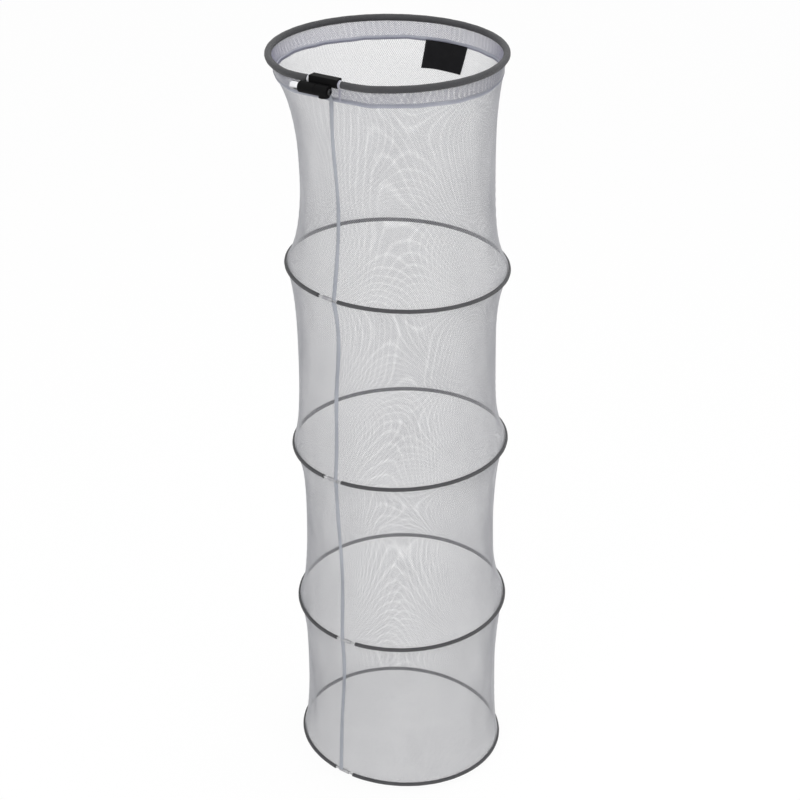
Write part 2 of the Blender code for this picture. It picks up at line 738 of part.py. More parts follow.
def build_label(mats, axes):
    """A cloth tab that hangs, leaning a little, on the inside of the top panel, under the hem."""
    half = math.degrees(LABEL_WIDTH / 2 / MOUTH_RADIUS)
    sides = [2 * column / LABEL_COLUMNS - 1 for column in range(LABEL_COLUMNS + 1)]
    columns = [LABEL_DEG + half * side for side in sides]
    top = LABEL_DROP / SECTION_1
    bottom = top + LABEL_HEIGHT / SECTION_1
    rows = [top] + [share for share in panel_rows() if top < share < bottom] + [bottom]
    near = -NET_THICKNESS / 2 - LABEL_GAP
    far = near - LABEL_THICKNESS
    bm = sheet_bmesh(0, rows, columns, near, far, MOUTH, upright=True)
    add_object("label_tab", bm, MOUTH, mats["label"], axes["mouth"])


def sheet_bmesh(section, rows, columns, near, far, origin, upright=False):
    """A thin closed sheet that follows a panel between two distances from its middle.

    Its columns are degrees from the seam, or plain degrees round the net if it is upright.
    """
    bm = bmesh.new()
    layers = []
    for lift in (near, far):
        layer = []
        for row in rows:
            turn = 0
            if upright:
                turn = LABEL_LEAN_DEG * (row - rows[0]) / (rows[-1] - rows[0]) - seam_degrees(section, row)
            points = [panel_point(section, row, column + turn, lift) - origin for column in columns]
            layer.append([bm.verts.new(point) for point in points])
        layers.append(layer)
    for layer in layers:
        for upper, lower in zip(layer, layer[1:]):
            for step in range(len(columns) - 1):
                bm.faces.new((upper[step], upper[step + 1], lower[step + 1], lower[step]))
    near_layer, far_layer = layers
    for row in (0, -1):
        for step in range(len(columns) - 1):
            near_row, far_row = near_layer[row], far_layer[row]
            bm.faces.new((near_row[step], near_row[step + 1], far_row[step + 1], far_row[step]))
    for column in (0, -1):
        for step in range(len(rows) - 1):
            near_pair = (near_layer[step][column], near_layer[step + 1][column])
            far_pair = (far_layer[step + 1][column], far_layer[step][column])
            bm.faces.new(near_pair + far_pair)
    return bm


def build_panel(section, mats, axes):
    origin = MOUTH if section == 0 else hoop_centre(section - 1)
    parent = axes["mouth"] if section == 0 else axes[section - 1]
    lines = panel_lines()
    bm = bmesh.new()
    layers = []
    for lift in (NET_THICKNESS / 2, -NET_THICKNESS / 2):
        layer = []
        for share in panel_rows():
            axis = panel_axis(section, share)
            loop = []
            for line in lines:
                point = panel_corner(section, share, line)
                outward = Vector((point.x - axis.x, point.y - axis.y, 0)).normalized()
                loop.append(bm.verts.new(point + outward * lift - origin))
            layer.append(loop)
        layers.append(layer)
    outer, inner = layers
    for row in range(len(outer) - 1):
        for line in range(len(lines)):
            after = (line + 1) % len(lines)
            corners = ((row, line), (row, after), (row + 1, after), (row + 1, line))
            if row % 2 and line % 2:
                for here, there in zip(corners, corners[1:] + corners[:1]):
                    (row_a, line_a), (row_b, line_b) = here, there
                    wall = (outer[row_a][line_a], outer[row_b][line_b], inner[row_b][line_b], inner[row_a][line_a])
                    bm.faces.new(wall)
                continue
            for layer in layers:
                bm.faces.new([layer[at][step] for at, step in corners])
    for row in (0, -1):
        for line in range(len(lines)):
            after = (line + 1) % len(lines)
            bm.faces.new((outer[row][line], outer[row][after], inner[row][after], inner[row][line]))
    add_object(f"net_panel_{section + 1}", bm, origin, mats["net"], parent)

    half = math.degrees(SEAM_WIDTH / 2 / HOOP_RADIUS)
    near = NET_THICKNESS / 2 + SOFT_GAP
    seam = sheet_bmesh(section, panel_rows(), (-half, half), near, near + SEAM_THICKNESS, origin)
    add_object(f"seam_{section + 1}", seam, origin, mats["seam"], parent)


def panel_axis(section, share):
    """Middle of a panel's outline at one height."""
    points = [panel_corner(section, share, line) for line in panel_lines()]
    return sum(points, Vector()) / len(points)


def build_hoop(number, mats, axes):
    parent = axes[number]
    place = hoop_centre(number)
    turn = hoop_turn(number)
    corners = [direction(degrees) * hoop_radius(number) for degrees in hoop_angles(number)]
    name = f"ring_{number + 2}"
    cover = sweep_bmesh(corners, HOOP_COVER_RADIUS, 6, HOOP_WIRE_RADIUS + SEAT_GAP)
    add_object(f"{name}_cover", cover, place, mats["cover"], parent, turn)

    middle = (corners[0] + corners[-1]) / 2
    across = (corners[0] - corners[-1]).normalized()
    wire_path = [middle + across * (WIRE_END_GAP / 2)] + corners + [middle - across * (WIRE_END_GAP / 2)]
    wire = sweep_bmesh(wire_path, HOOP_WIRE_RADIUS, 6)
    add_object(f"{name}_wire", wire, place, mats["steel"], parent, turn)

    half = across * (FERRULE_LENGTH / 2)
    bore = HOOP_WIRE_RADIUS + SEAT_GAP
    ferrule = rod_bmesh(middle - half, middle + half, FERRULE_RADIUS, SMALL_SIDES, bore=bore)
    add_object(f"{name}_ferrule", ferrule, place, mats["chrome"], parent, turn)


def clipped(polygon, keep_inside):
    """The part of a convex polygon on the inner side of each line (point, inward normal)."""
    for origin, inward in keep_inside:
        kept = []
        for here, there in zip(polygon, polygon[1:] + polygon[:1]):
            here_in = (here - origin).dot(inward)
            there_in = (there - origin).dot(inward)
            if here_in >= 0:
                kept.append(here)
            if (here_in > 0) != (there_in > 0) and here_in != there_in:
                kept.append(here.lerp(there, here_in / (here_in - there_in)))
        polygon = kept
        if len(polygon) < 3:
            return []
    return polygon


def polygon_area(polygon):
    pairs = zip(polygon, polygon[1:] + polygon[:1])
    return abs(sum(a.x * b.y - a.y * b.x for a, b in pairs)) / 2


def build_base(mats, axes):
    """A disc cut into a net of flat strands. Each gap is a square, or a square cut by the rim."""
    number = len(SECTIONS) - 1
    place = hoop_centre(number)
    turn = hoop_turn(number)
    radius = hoop_radius(number) - HOOP_COVER_RADIUS - SEAT_GAP
    corners = [direction(degrees) * radius for degrees in hoop_angles(number)]
    low = Vector((0, 0, -BASE_THICKNESS / 2))
    high = Vector((0, 0, BASE_THICKNESS / 2))
    disc = loft_bmesh([[corner + low for corner in corners], [corner + high for corner in corners]], False)
    base = add_object("base_net", disc, place, mats["net"], axes[number], turn)

    rim = [direction(degrees) * (radius - BASE_STRAND) for degrees in hoop_angles(number)]
    lines = []
    for here, there in zip(rim, rim[1:] + rim[:1]):
        inward = Vector((here.y - there.y, there.x - here.x, 0))
        lines.append((here, inward))
    half_gap = (BASE_PITCH - BASE_STRAND) / 2
    least = BASE_SMALLEST_GAP_SHARE * BASE_PITCH * BASE_PITCH
    reach = math.ceil(radius / BASE_PITCH)
    turn_cells = Matrix.Rotation(math.radians(BASE_TURN_DEG), 3, "Z")
    gaps = bmesh.new()
    count = 0
    for column in range(-reach, reach + 1):
        for row in range(-reach, reach + 1):
            centre = Vector((column * BASE_PITCH, row * BASE_PITCH, 0))
            square = [(-1, -1), (1, -1), (1, 1), (-1, 1)]
            square = [turn_cells @ (centre + Vector((x, y, 0)) * half_gap) for x, y in square]
            outline = clipped(square, lines)
            if not outline or polygon_area(outline) < least:
                continue
            count += 1
            bottom = [gaps.verts.new(point - Vector((0, 0, CUT_OVERRUN))) for point in outline]
            face = gaps.faces.new(bottom)
            extruded = bmesh.ops.extrude_face_region(gaps, geom=[face])["geom"]
            top = [item for item in extruded if isinstance(item, bmesh.types.BMVert)]
            bmesh.ops.translate(gaps, vec=(0, 0, 2 * CUT_OVERRUN), verts=top)
    cut(base, add_object("base_gaps", gaps, place, parent=axes[number], turn=turn))
    print(f"base_net: {count} gaps")


def main():
    clear_scene()
    mats = materials()
    axes = build_materials_and_axes()
    build_head_block(mats, axes)
    build_knuckle(mats, axes)
    build_pivot_bolt(mats, axes)
    build_tilt_lock(mats, axes)
    build_ring_screws(mats, axes)
    build_mouth(mats, axes)
    build_label(mats, axes)
    for number in range(len(SECTIONS)):
        build_hoop(number, mats, axes)
        build_panel(number, mats, axes)
    build_base(mats, axes)
    for name in ("MOUTH", "HINGE"):
        print(name, [round(value, 5) for value in globals()[name]])


main()
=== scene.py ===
# %% [markdown]
# # A keep net, dressed over its frame
#
# A keep net is a long tube of soft netting on spaced hoops. It hangs from a bank stick beside the
# water and keeps a catch alive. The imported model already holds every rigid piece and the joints.
# This lesson loads that model as a fixed frame, then builds what the eye sees: the netting itself,
# the woven sleeves on the hoops, the hem, the seam, the label and the finish of each metal and
# plastic piece. All lengths are in metres, with +Z up.

# %% Load the frame and keep its box
import math
from functools import partial

import bpy
import numpy as np
from mathutils import Euler, Matrix, Vector


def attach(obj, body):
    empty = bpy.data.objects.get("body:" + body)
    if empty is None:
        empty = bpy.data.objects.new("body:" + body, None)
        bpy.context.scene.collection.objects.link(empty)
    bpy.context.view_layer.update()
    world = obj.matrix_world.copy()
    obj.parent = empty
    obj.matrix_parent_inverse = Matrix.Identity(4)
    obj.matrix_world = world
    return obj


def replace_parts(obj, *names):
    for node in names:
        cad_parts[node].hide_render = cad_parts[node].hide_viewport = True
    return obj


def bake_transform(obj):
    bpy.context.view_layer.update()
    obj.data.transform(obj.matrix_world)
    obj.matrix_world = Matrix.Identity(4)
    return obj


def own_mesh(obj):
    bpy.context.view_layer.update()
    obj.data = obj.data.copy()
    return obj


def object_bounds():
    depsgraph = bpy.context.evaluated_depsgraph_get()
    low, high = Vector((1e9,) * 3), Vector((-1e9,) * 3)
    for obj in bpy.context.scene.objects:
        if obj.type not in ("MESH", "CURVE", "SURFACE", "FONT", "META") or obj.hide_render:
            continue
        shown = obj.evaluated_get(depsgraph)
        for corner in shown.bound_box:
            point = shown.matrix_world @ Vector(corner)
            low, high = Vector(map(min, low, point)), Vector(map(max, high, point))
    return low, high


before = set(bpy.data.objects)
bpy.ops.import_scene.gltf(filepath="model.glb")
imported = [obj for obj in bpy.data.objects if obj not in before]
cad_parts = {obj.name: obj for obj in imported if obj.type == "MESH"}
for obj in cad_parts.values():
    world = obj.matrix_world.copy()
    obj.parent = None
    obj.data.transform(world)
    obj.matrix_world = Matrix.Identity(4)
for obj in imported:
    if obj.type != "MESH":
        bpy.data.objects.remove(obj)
cad_box = [list(corner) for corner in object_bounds()]
scene = bpy.context.scene


def in_mm(box):
    return [[round(1000 * value, 1) for value in corner] for corner in box]


print("model box in mm:", in_mm(cad_box))

# %% [markdown]
# ## The sizes that the soft pieces share
#
# A soft piece has to follow the hoops exactly, so it needs the numbers that the frame was built
# from: where each hoop hangs, how wide it is and how far it leans. They could be measured from the
# frame's meshes, but those are coarse. The formulas give a smooth surface at any fineness, so the
# lesson repeats them here. The mouth's ring is round, but it runs straight past the head.

# %% Sizes of the mouth and the hoops
MOUTH = Vector((-0.008, 0.2005, 0.0222))
MOUTH_RADIUS = 0.2013
MOUTH_FLAT = 0.013
MOUTH_CORNER = 0.003
HEAD_DEG = -90.0
HOOP_RADIUS = 0.196
HOOP_SIZE_SHARES = (1.012, 1.009, 1.013, 1.0)
HOOP_LEAN_DEG = ((-0.7, 2.2), (0.3, -1.6), (0.8, -0.2), (-2.7, 1.4))
SWAY_SHARES = ((0.073, 0.047), (0.091, 0.058), (0.106, 0.0675), (0.103, 0.065))
SECTIONS = (0.3883, 0.3541, 0.3425, 0.3271)
print("net length from mouth to base:", round(sum(SECTIONS), 4))


# %% Where the hoops hang
def hoop_radius(number):
    return HOOP_RADIUS * HOOP_SIZE_SHARES[number]


def hoop_centre(number):
    share_x, share_y = SWAY_SHARES[number]
    fall = sum(SECTIONS[: number + 1])
    return MOUTH + Vector((share_x * HOOP_RADIUS, share_y * HOOP_RADIUS, -fall))


def hoop_turn(number):
    lean_x, lean_y = HOOP_LEAN_DEG[number]
    return Euler((math.radians(lean_x), math.radians(lean_y), 0)).to_matrix()


def hoop_up(number):
    return np.array(hoop_turn(number) @ Vector((0, 0, 1)))


def round_points(degrees, radius, above=0.0):
    """Points on a level circle round the origin, as rows of x, y, z."""
    angle = np.radians(degrees)
    return np.stack([radius * np.cos(angle), radius * np.sin(angle), above + 0 * angle], -1)


def hoop_points(number, degrees, above=0.0):
    turned = round_points(degrees, hoop_radius(number), above) @ np.array(hoop_turn(number)).T
    return turned + np.array(hoop_centre(number))


print("hoop centres:", [[round(value, 4) for value in hoop_centre(number)] for number in range(4)])

# %% Where the mouth's ring runs
LEAST_COSINE = 0.1


def mouth_reach(degrees):
    """Distance from the mouth's centre to its ring: the nearer of a circle and a straight line."""
    off_head = np.radians(degrees - HEAD_DEG)
    cosine = np.maximum(np.cos(off_head), LEAST_COSINE)
    chord = (MOUTH_RADIUS - MOUTH_FLAT) / cosine
    nearer = np.minimum(MOUTH_RADIUS, chord)
    blend = np.exp((nearer - MOUTH_RADIUS) / MOUTH_CORNER) + np.exp((nearer - chord) / MOUTH_CORNER)
    return nearer - MOUTH_CORNER * np.log(blend)


def mouth_points(degrees, above=0.0, outward=0.0):
    return round_points(degrees, mouth_reach(degrees) + outward, above) + np.array(MOUTH)


print("reach at the head and across from it:", mouth_reach(np.array((HEAD_DEG, -HEAD_DEG))).round(4))

# %% [markdown]
# ## Camera and light
#
# The camera stands where the photographer stood: a little to the right of the head and high enough
# to look down into the mouth. The lens is long, so the far side of each hoop is almost as wide as
# the near side. The object hangs in front of white, lit softly from all round. A bright world gives
# most of the light, and three large panels add a little shape to the black plastic and the metal.

# %% The camera at the photograph's viewing angle
CAMERA_AZIMUTH = math.radians(32.5)
CAMERA_DIP = math.radians(27.968)
CAMERA_LENS = 83.52
CAMERA_SENSOR = 36
CAMERA_ASIDE = 0.0211
CAMERA_BACK = 3.035
CAMERA_UP = 0.9471
sideways = Vector((math.cos(CAMERA_AZIMUTH), math.sin(CAMERA_AZIMUTH), 0))
ahead = Vector((-math.sin(CAMERA_AZIMUTH), math.cos(CAMERA_AZIMUTH), 0))
look = ahead * math.cos(CAMERA_DIP) - Vector((0, 0, math.sin(CAMERA_DIP)))
camera_data = bpy.data.cameras.new("camera")
camera_data.lens = CAMERA_LENS
camera_data.sensor_width = CAMERA_SENSOR
camera_data.clip_end = 100
camera = bpy.data.objects.new("camera", camera_data)
scene.collection.objects.link(camera)
place = MOUTH + sideways * CAMERA_ASIDE - ahead * CAMERA_BACK + Vector((0, 0, CAMERA_UP))
turn = Matrix((sideways, sideways.cross(look), -look)).transposed()
camera.matrix_world = Matrix.Translation(place) @ turn.to_4x4()
scene.camera = camera
print("camera at", [round(value, 3) for value in place])

# %% Standard view and soft panels
LIT_POINT = Vector((0, 0.2, -0.65))
PANELS = (
    ("key_panel", (0.2, -3.0, 2.7), 1.6, 40),
    ("fill_panel", (3.0, -0.8, 1.2), 2.0, 26),
    ("top_panel", (0.4, 0.9, 3.2), 2.0, 30),
)
scene.view_settings.view_transform = "Standard"


def add_panel_light(name, offset, size, power):
    """A round lamp that faces the middle of the net."""
    data = bpy.data.lights.new(name, "AREA")
    data.shape = "DISK"
    data.size = size
    data.energy = power
    lamp = bpy.data.objects.new(name, data)
    scene.collection.objects.link(lamp)
    place = LIT_POINT + Vector(offset)
    lamp.location = place
    lamp.rotation_euler = (LIT_POINT - place).to_track_quat("-Z", "Y").to_euler()


for panel in PANELS:
    add_panel_light(*panel)

# %% [markdown]
# ## Writing shader maths as sums
#
# A material is a small program made of nodes. Adding a Math node for each plus and times makes long
# code, so one small class wraps a socket and lets Python's own signs add the nodes. Colours go
# through Mix nodes, because a Math node turns a colour grey. Every other node comes from one
# method, which takes the node's type, its settings and the values of its sockets.


# %% The socket wrapper
class Wire:
    """One output of a node. Signs between wires, or a wire and a number, add Math nodes."""

    def __init__(self, nodes, socket):
        self.nodes = nodes
        self.socket = socket

    def math(self, operation, *others, first=None):
        values = [self if first is None else first, *others]
        return self.nodes.node("Math", {"operation": operation}, dict(enumerate(values)))

    def __add__(self, other):
        return self.math("ADD", other)

    def __sub__(self, other):
        return self.math("SUBTRACT", other)

    def __mul__(self, other):
        return self.math("MULTIPLY", other)

    def __radd__(self, other):
        return self.math("ADD", self, first=other)

    def __rsub__(self, other):
        return self.math("SUBTRACT", self, first=other)

    def __rmul__(self, other):
        return self.math("MULTIPLY", self, first=other)

    def between(self, low, high):
        """0 below low, 1 above high, and even in between."""
        mapped = {0: self, 1: low, 2: high, 3: 0.0, 4: 1.0}
        return self.nodes.node("MapRange", {"clamp": True}, mapped)


print("signs that add Math nodes: + - *")


# %% The nodes of a material or of the world
class NodeTree:
    """A tree of nodes, and short ways to add to it."""

    def __init__(self, tree):
        self.tree = tree

    def fill(self, socket, value):
        if isinstance(value, Wire):
            self.tree.links.new(value.socket, socket)
        elif isinstance(value, tuple) and len(value) == 3 and socket.type == "RGBA":
            socket.default_value = (*value, 1)
        else:
            socket.default_value = value

    def node(self, kind, settings=None, sockets=None, out=0):
        made = self.tree.nodes.new("ShaderNode" + kind)
        for name, value in (settings or {}).items():
            setattr(made, name, value)
        for name, value in (sockets or {}).items():
            self.fill(made.inputs[name], value)
        return Wire(self, made.outputs[out])

    def blend(self, factor, first, second):
        settings = {"data_type": "RGBA", "blend_type": "MIX"}
        return self.node("Mix", settings, {0: factor, 6: first, 7: second}, out=2)

    def place(self, axis):
        """One of a point's own coordinates, 0 for x and 2 for z."""
        here = self.node("TexCoord", out="Object")
        return self.node("SeparateXYZ", sockets={0: here}, out=axis)

    def along_and_across(self, map_name):
        """The two numbers of a piece's own map: metres along it and metres across it."""
        here = self.node("UVMap", {"uv_map": map_name})
        along = self.node("SeparateXYZ", sockets={0: here})
        return along, Wire(self, along.socket.node.outputs[1])

    def noise(self, scale, detail, roughness=0.5):
        here = self.node("TexCoord", out="Object")
        sockets = {"Vector": here, "Scale": scale, "Detail": detail, "Roughness": roughness}
        return self.node("TexNoise", {"noise_dimensions": "3D"}, sockets)


class Finish(NodeTree):
    """A material with a Principled shader."""

    def __init__(self, name, colour, roughness, metallic=0.0):
        self.material = bpy.data.materials.new(name)
        self.material.use_nodes = True
        super().__init__(self.material.node_tree)
        self.shader = self.tree.nodes["Principled BSDF"]
        self.put("Base Color", colour)
        self.put("Roughness", roughness)
        self.put("Metallic", metallic)
        self.material.diffuse_color = (*colour, 1)

    def put(self, name, value):
        self.fill(self.shader.inputs[name], value)

    def bump(self, height, distance, strength):
        sockets = {"Height": height, "Distance": distance, "Strength": strength}
        self.put("Normal", self.node("Bump", sockets=sockets))


def paint(obj, finish):
    """Gives every face of an object one material."""
    obj.data.materials.clear()
    obj.data.materials.append(finish.material)
    obj.data.polygons.foreach_set("material_index", [0] * len(obj.data.polygons))


print("finish tools ready")

# %% [markdown]
# ## A white ground
#
# The photograph is cut out on pure white. The floor is a plain pale sheet under the net. To the
# camera and to mirrors it shows mostly its own even light and only a little of the real light, so
# it stays white and still takes a faint shadow. The world is pure white to them too, but it lights
# the object with less than that.

# %% Floor and world
FLOOR_DROP = 0.004
FLOOR_RADIUS = 14.0
FLOOR_GLOW = 0.94
WORLD_LIGHT = 0.74
WHITE = (1.0, 1.0, 1.0)


def shown_to_eyes(nodes):
    """1 for rays from the camera and for what mirrors and glass see, else 0."""
    shown = nodes.node("LightPath", out="Is Camera Ray")
    outputs = shown.socket.node.outputs
    for name in ("Is Glossy Ray", "Is Transmission Ray"):
        shown = shown.math("MAXIMUM", Wire(nodes, outputs[name]))
    return shown


bpy.ops.object.select_all(action="DESELECT")
bpy.ops.mesh.primitive_circle_add(
    vertices=96, radius=FLOOR_RADIUS, fill_type="NGON", location=(0, 0.2, cad_box[0][2] - FLOOR_DROP)
)
floor = bpy.context.object
floor.name = "floor"
bpy.ops.object.transform_apply(location=True)
ground = Finish("pale floor", (0.95, 0.95, 0.95), 0.9)
real_light = Wire(ground, ground.shader.outputs[0])
own_light = ground.node("Emission", sockets={0: WHITE, 1: 1.0})
own_share = shown_to_eyes(ground) * FLOOR_GLOW
seen = ground.node("MixShader", sockets={0: own_share, 1: real_light, 2: own_light})
ground.fill(ground.tree.nodes["Material Output"].inputs["Surface"], seen)
paint(floor, ground)

world = bpy.data.worlds.new("soft white room")
scene.world = world
world.use_nodes = True
sky = NodeTree(world.node_tree)
background = sky.tree.nodes["Background"]
sky.fill(background.inputs["Color"], WHITE)
sky.fill(background.inputs["Strength"], shown_to_eyes(sky) * (1 - WORLD_LIGHT) + WORLD_LIGHT)
print("floor at", round(cad_box[0][2] - FLOOR_DROP, 4))

# %% [markdown]
# ## Net twine
#
# The netting is knotless twine, pale grey with a slight blue. Up close each strand is a soft
# twisted yarn, and from a distance only its tone shows. The colour therefore drifts slowly over the
# whole net, as if some lengths were washed more than others, and a fine ripple along each strand
# stands for the twist. The ripple reads the strand's own map, so it follows every curve.

# %% The twine's finish
TWINE_MAP = "along_strand"
YARN_TWIST = 0.0014
YARN_SLOPE = 1600.0
YARN_DEPTH = 0.00012


def twine_finish(name, colour, shade, twist=YARN_TWIST):
    """Twine from colour to shade, with a turn of its yarn every twist metres."""
    made = Finish(name, colour, 0.62)
    slow = made.noise(14.0, 3.0)
    quick = made.noise(420.0, 2.0)
    worn = (slow * 0.65 + quick * 0.35).between(0.35, 0.65)
    made.put("Base Color", made.blend(worn, shade, colour))
    made.put("Roughness", 0.55 + 0.25 * quick)
    along, across = made.along_and_across(TWINE_MAP)
    yarn = (along * (math.tau / twist) + across * YARN_SLOPE).math("SINE")
    made.bump(yarn * 0.5 + 0.5, YARN_DEPTH, 0.6)
    made.put("Sheen Weight", 0.15)
    return made


net_twine = twine_finish("pale net twine", (0.48, 0.482, 0.503), (0.385, 0.387, 0.411))
hem_twine = twine_finish("hem twine", (0.265, 0.261, 0.365), (0.20, 0.197, 0.29))
base_twine = twine_finish("base twine", (0.50, 0.502, 0.52), (0.405, 0.407, 0.43))
print("twine finishes ready")

# %% [markdown]
# ## Netting as real strands
#
# Netting could be a plain sheet with a pattern of holes in its material. That is light, but seen
# close, or printed, the holes are gone. Here every strand is geometry. One family of strands winds
# down the tube to the left and the other to the right, so they cross as diamonds, as knotless
# netting does. Each strand has three sides and few steps, because there are hundreds. All of them
# lie on one formula for the tube: it leaves a hoop, draws in to a waist, and flares to the next.
# Soft folds push the surface in and out by a millimetre or two, and die away at the hoops.

# %% How far the net draws in
HEM_DEPTH = 0.032
HEM_DRAW_START = 0.014
HEM_FLARE = 0.064
FLARE_LENGTH = 0.050


def draw_in(section, share):
    """Metres below where the net starts to draw in, and 0 at a hoop to near 1 far from one."""
    down = share * SECTIONS[section]
    up = (1 - share) * SECTIONS[section]
    upper_flare = FLARE_LENGTH
    if section == 0:
        up = (1 - share) * (SECTIONS[0] - HEM_DEPTH)
        down = SECTIONS[0] - HEM_DRAW_START - up
        upper_flare = HEM_FLARE
    return down, (1 - np.exp(-down / upper_flare)) * (1 - np.exp(-up / FLARE_LENGTH))


print("drawn in at the middle of each section:", [round(float(draw_in(n, 0.5)[1]), 3) for n in range(4)])

# %% The smooth net between two hoops
HOOP_COVER_RADIUS = 0.0041
NET_OFF_HOOP = HOOP_COVER_RADIUS * 0.5
DRIFT_LENGTH = 0.080
WAIST_SHARES = (0.840, 0.898, 0.889, 0.934)
BELLY_SHARES = ((-0.003, -0.002), (-0.030, -0.019), (-0.011, -0.007), (0.0065, 0.004))


def net_points(section, share, degrees):
    """Points on the smooth net, at plain degrees round it, and the direction outwards."""
    down, flare = draw_in(section, share)
    if section:
        top = hoop_points(section - 1, degrees, -NET_OFF_HOOP)
        top_centre = np.array(hoop_centre(section - 1))
    else:
        top = mouth_points(degrees, -HEM_DEPTH)
        top_centre = np.array(MOUTH)
    bottom = hoop_points(section, degrees, NET_OFF_HOOP)
    bottom_centre = np.array(hoop_centre(section))
    along = share[..., None]
    flat = np.array((1, 1, 0))
    plain = top_centre * (1 - along) + bottom_centre * along
    arm = top * (1 - along) + bottom * along - plain
    shrink = (1 - (1 - WAIST_SHARES[section]) * flare)[..., None]
    drift = ((1 - share) * (np.exp(-down / DRIFT_LENGTH) - 1))[..., None]
    belly = np.array((*BELLY_SHARES[section], 0)) * HOOP_RADIUS * flare[..., None]
    out = arm * flat
    out = out / np.linalg.norm(out, axis=-1, keepdims=True)
    shift = (top_centre - bottom_centre) * drift * flat + belly
    return plain + shift + arm * (flat * shrink + (1 - flat)), out


print("waists in mm:", [round(1000 * HOOP_RADIUS * share, 1) for share in WAIST_SHARES])

# %% The seam's line, and folds that are counted from it
SEAM_DEG = (-87.0, -90.5, -93.0, -91.5, -94.5)
SEAM_BOW_DEG = (-5.5, -2.5, -3.0, -2.0)
SEAM_SWAY_DEG = ((-0.5, -1.65, -0.75), (2.0, 1.0, 0.7), (-0.85, -0.9, -0.2), (-0.3, 0.6, 0.0))
# Each fold: how many round the net, its height, where it starts, and how far it winds.
FOLDS = ((5, 0.0012, 0.4, 3.0), (9, 0.0009, 2.1, -4.2), (14, 0.0006, 4.0, 6.6), (23, 0.00035, 1.2, -9.3))
FOLD_SHIFT = 1.7


def seam_degrees(section, share):
    """Where the seam lies: a straight line, a bow, and three slow waves that fade at the hoops."""
    line = SEAM_DEG[section] * (1 - share) + SEAM_DEG[section + 1] * share
    line = line + SEAM_BOW_DEG[section] * draw_in(section, share)[1]
    for wave, height in enumerate(SEAM_SWAY_DEG[section], 1):
        line = line + height * np.sin(wave * math.pi * share)
    return line


def fold_depth(section, share, from_seam):
    """How far the folds push the net outwards. They die away at both hoops."""
    angle = np.radians(from_seam)
    depth = 0 * angle
    for waves, height, start, winding in FOLDS:
        depth = depth + height * np.sin(waves * angle + start + FOLD_SHIFT * section + winding * share)
    for part in (share, 1 - share):
        depth = depth * (1 - np.exp(-part * SECTIONS[section] / FLARE_LENGTH))
    return depth


def tube_points(section, share, from_seam):
    """Points on the folded net. from_seam is in degrees round from the seam."""
    points, out = net_points(section, share, seam_degrees(section, share) + from_seam)
    return points + out * fold_depth(section, share, from_seam)[..., None], out


five_shares = np.linspace(0, 1, 5)
print("seam line of section 1:", np.round(tube_points(0, five_shares, 0 * five_shares)[0], 3).tolist())


# %% Meshes from rows of points
def add_mesh_object(name, vertices, faces, finish):
    """Makes an object at the origin from arrays of points and of faces."""
    mesh = bpy.data.meshes.new(name)
    mesh.from_pydata(vertices, [], faces)
    mesh.update()
    mesh.shade_smooth()
    obj = bpy.data.objects.new(name, mesh)
    scene.collection.objects.link(obj)
    paint(obj, finish)
    return obj


def sides_of_path(path, outward):
    """Unit directions beside each path and away from its surface, at each of its points."""
    onward = np.gradient(path, axis=-2)
    onward = onward / np.linalg.norm(onward, axis=-1, keepdims=True)
    beside = np.cross(onward, outward)
    beside = beside / np.linalg.norm(beside, axis=-1, keepdims=True)
    return beside, np.cross(beside, onward)


def lengths_along(path):
    """Metres from the start of each path to each of its points."""
    gaps = np.linalg.norm(np.diff(path, axis=-2), axis=-1)
    return np.concatenate([np.zeros((*gaps.shape[:-1], 1)), np.cumsum(gaps, axis=-1)], -1)


def ring_corners(rings, sides):
    """The four corners of each face between two rings of points: two below and two above."""
    ring = np.arange(rings - 1)[:, None] * sides
    side = np.arange(sides)[None, :]
    after = (side + 1) % sides
    return ring + side, ring + after, ring + sides + after, ring + sides + side


def write_map(obj, map_name, values):
    """Adds a map with one pair of numbers for each corner of each face."""
    layer = obj.data.uv_layers.new(name=map_name)
    layer.uv.foreach_set("vector", values.astype(np.float32).ravel())


def corner_points(obj):
    """The number of the point at each corner of each face."""
    points = np.empty(len(obj.data.loops), np.int32)
    obj.data.loops.foreach_get("vertex_index", points)
    return points


print("mesh tools ready")

# %% Strands with three sides
STRAND_STEPS = 26
STRAND_RADIUS = 0.00026
STITCH_RADIUS = 0.00028


def map_strands(obj, along, sides, radius):
    """A map for the twine's ripple: metres along the strand, and metres round it."""
    point = corner_points(obj)
    across = point % sides * (math.tau * radius / sides)
    write_map(obj, TWINE_MAP, np.stack([along.reshape(-1)[point // sides], across], -1))


def add_strands(name, path, outward, finish, radius=STRAND_RADIUS, sides=3, spread=1.0):
    """One mesh of many closed strands, a row of path for each. spread widens them along the cloth."""
    path = np.asarray(path, float)
    beside, raised = sides_of_path(path, np.broadcast_to(outward, path.shape))
    corners = []
    for side in range(sides):
        angle = math.tau * side / sides
        corners.append(path + radius * (math.cos(angle) * raised + spread * math.sin(angle) * beside))
    strands, steps = path.shape[:2]
    first = np.arange(strands)[:, None] * steps * sides
    here, after, above_after, above = ring_corners(steps, sides)
    quads = np.stack([here, above, above_after, after], -1)[None] + first[..., None, None]
    starts = first + np.arange(sides)
    ends = first + (steps - 1) * sides + np.arange(sides)[::-1]
    faces = quads.reshape(-1, 4).tolist() + starts.tolist() + ends.tolist()
    obj = add_mesh_object(name, np.stack(corners, 2).reshape(-1, 3), faces, finish)
    along = lengths_along(path)
    map_strands(obj, along, sides, radius)
    return obj, float(along[:, -1].sum())


print("strand radius in mm:", 1000 * STRAND_RADIUS)

# %% Strands that cross on a surface
FIRST_STRAND = 0.25
STEP_CROWDING = 0.045


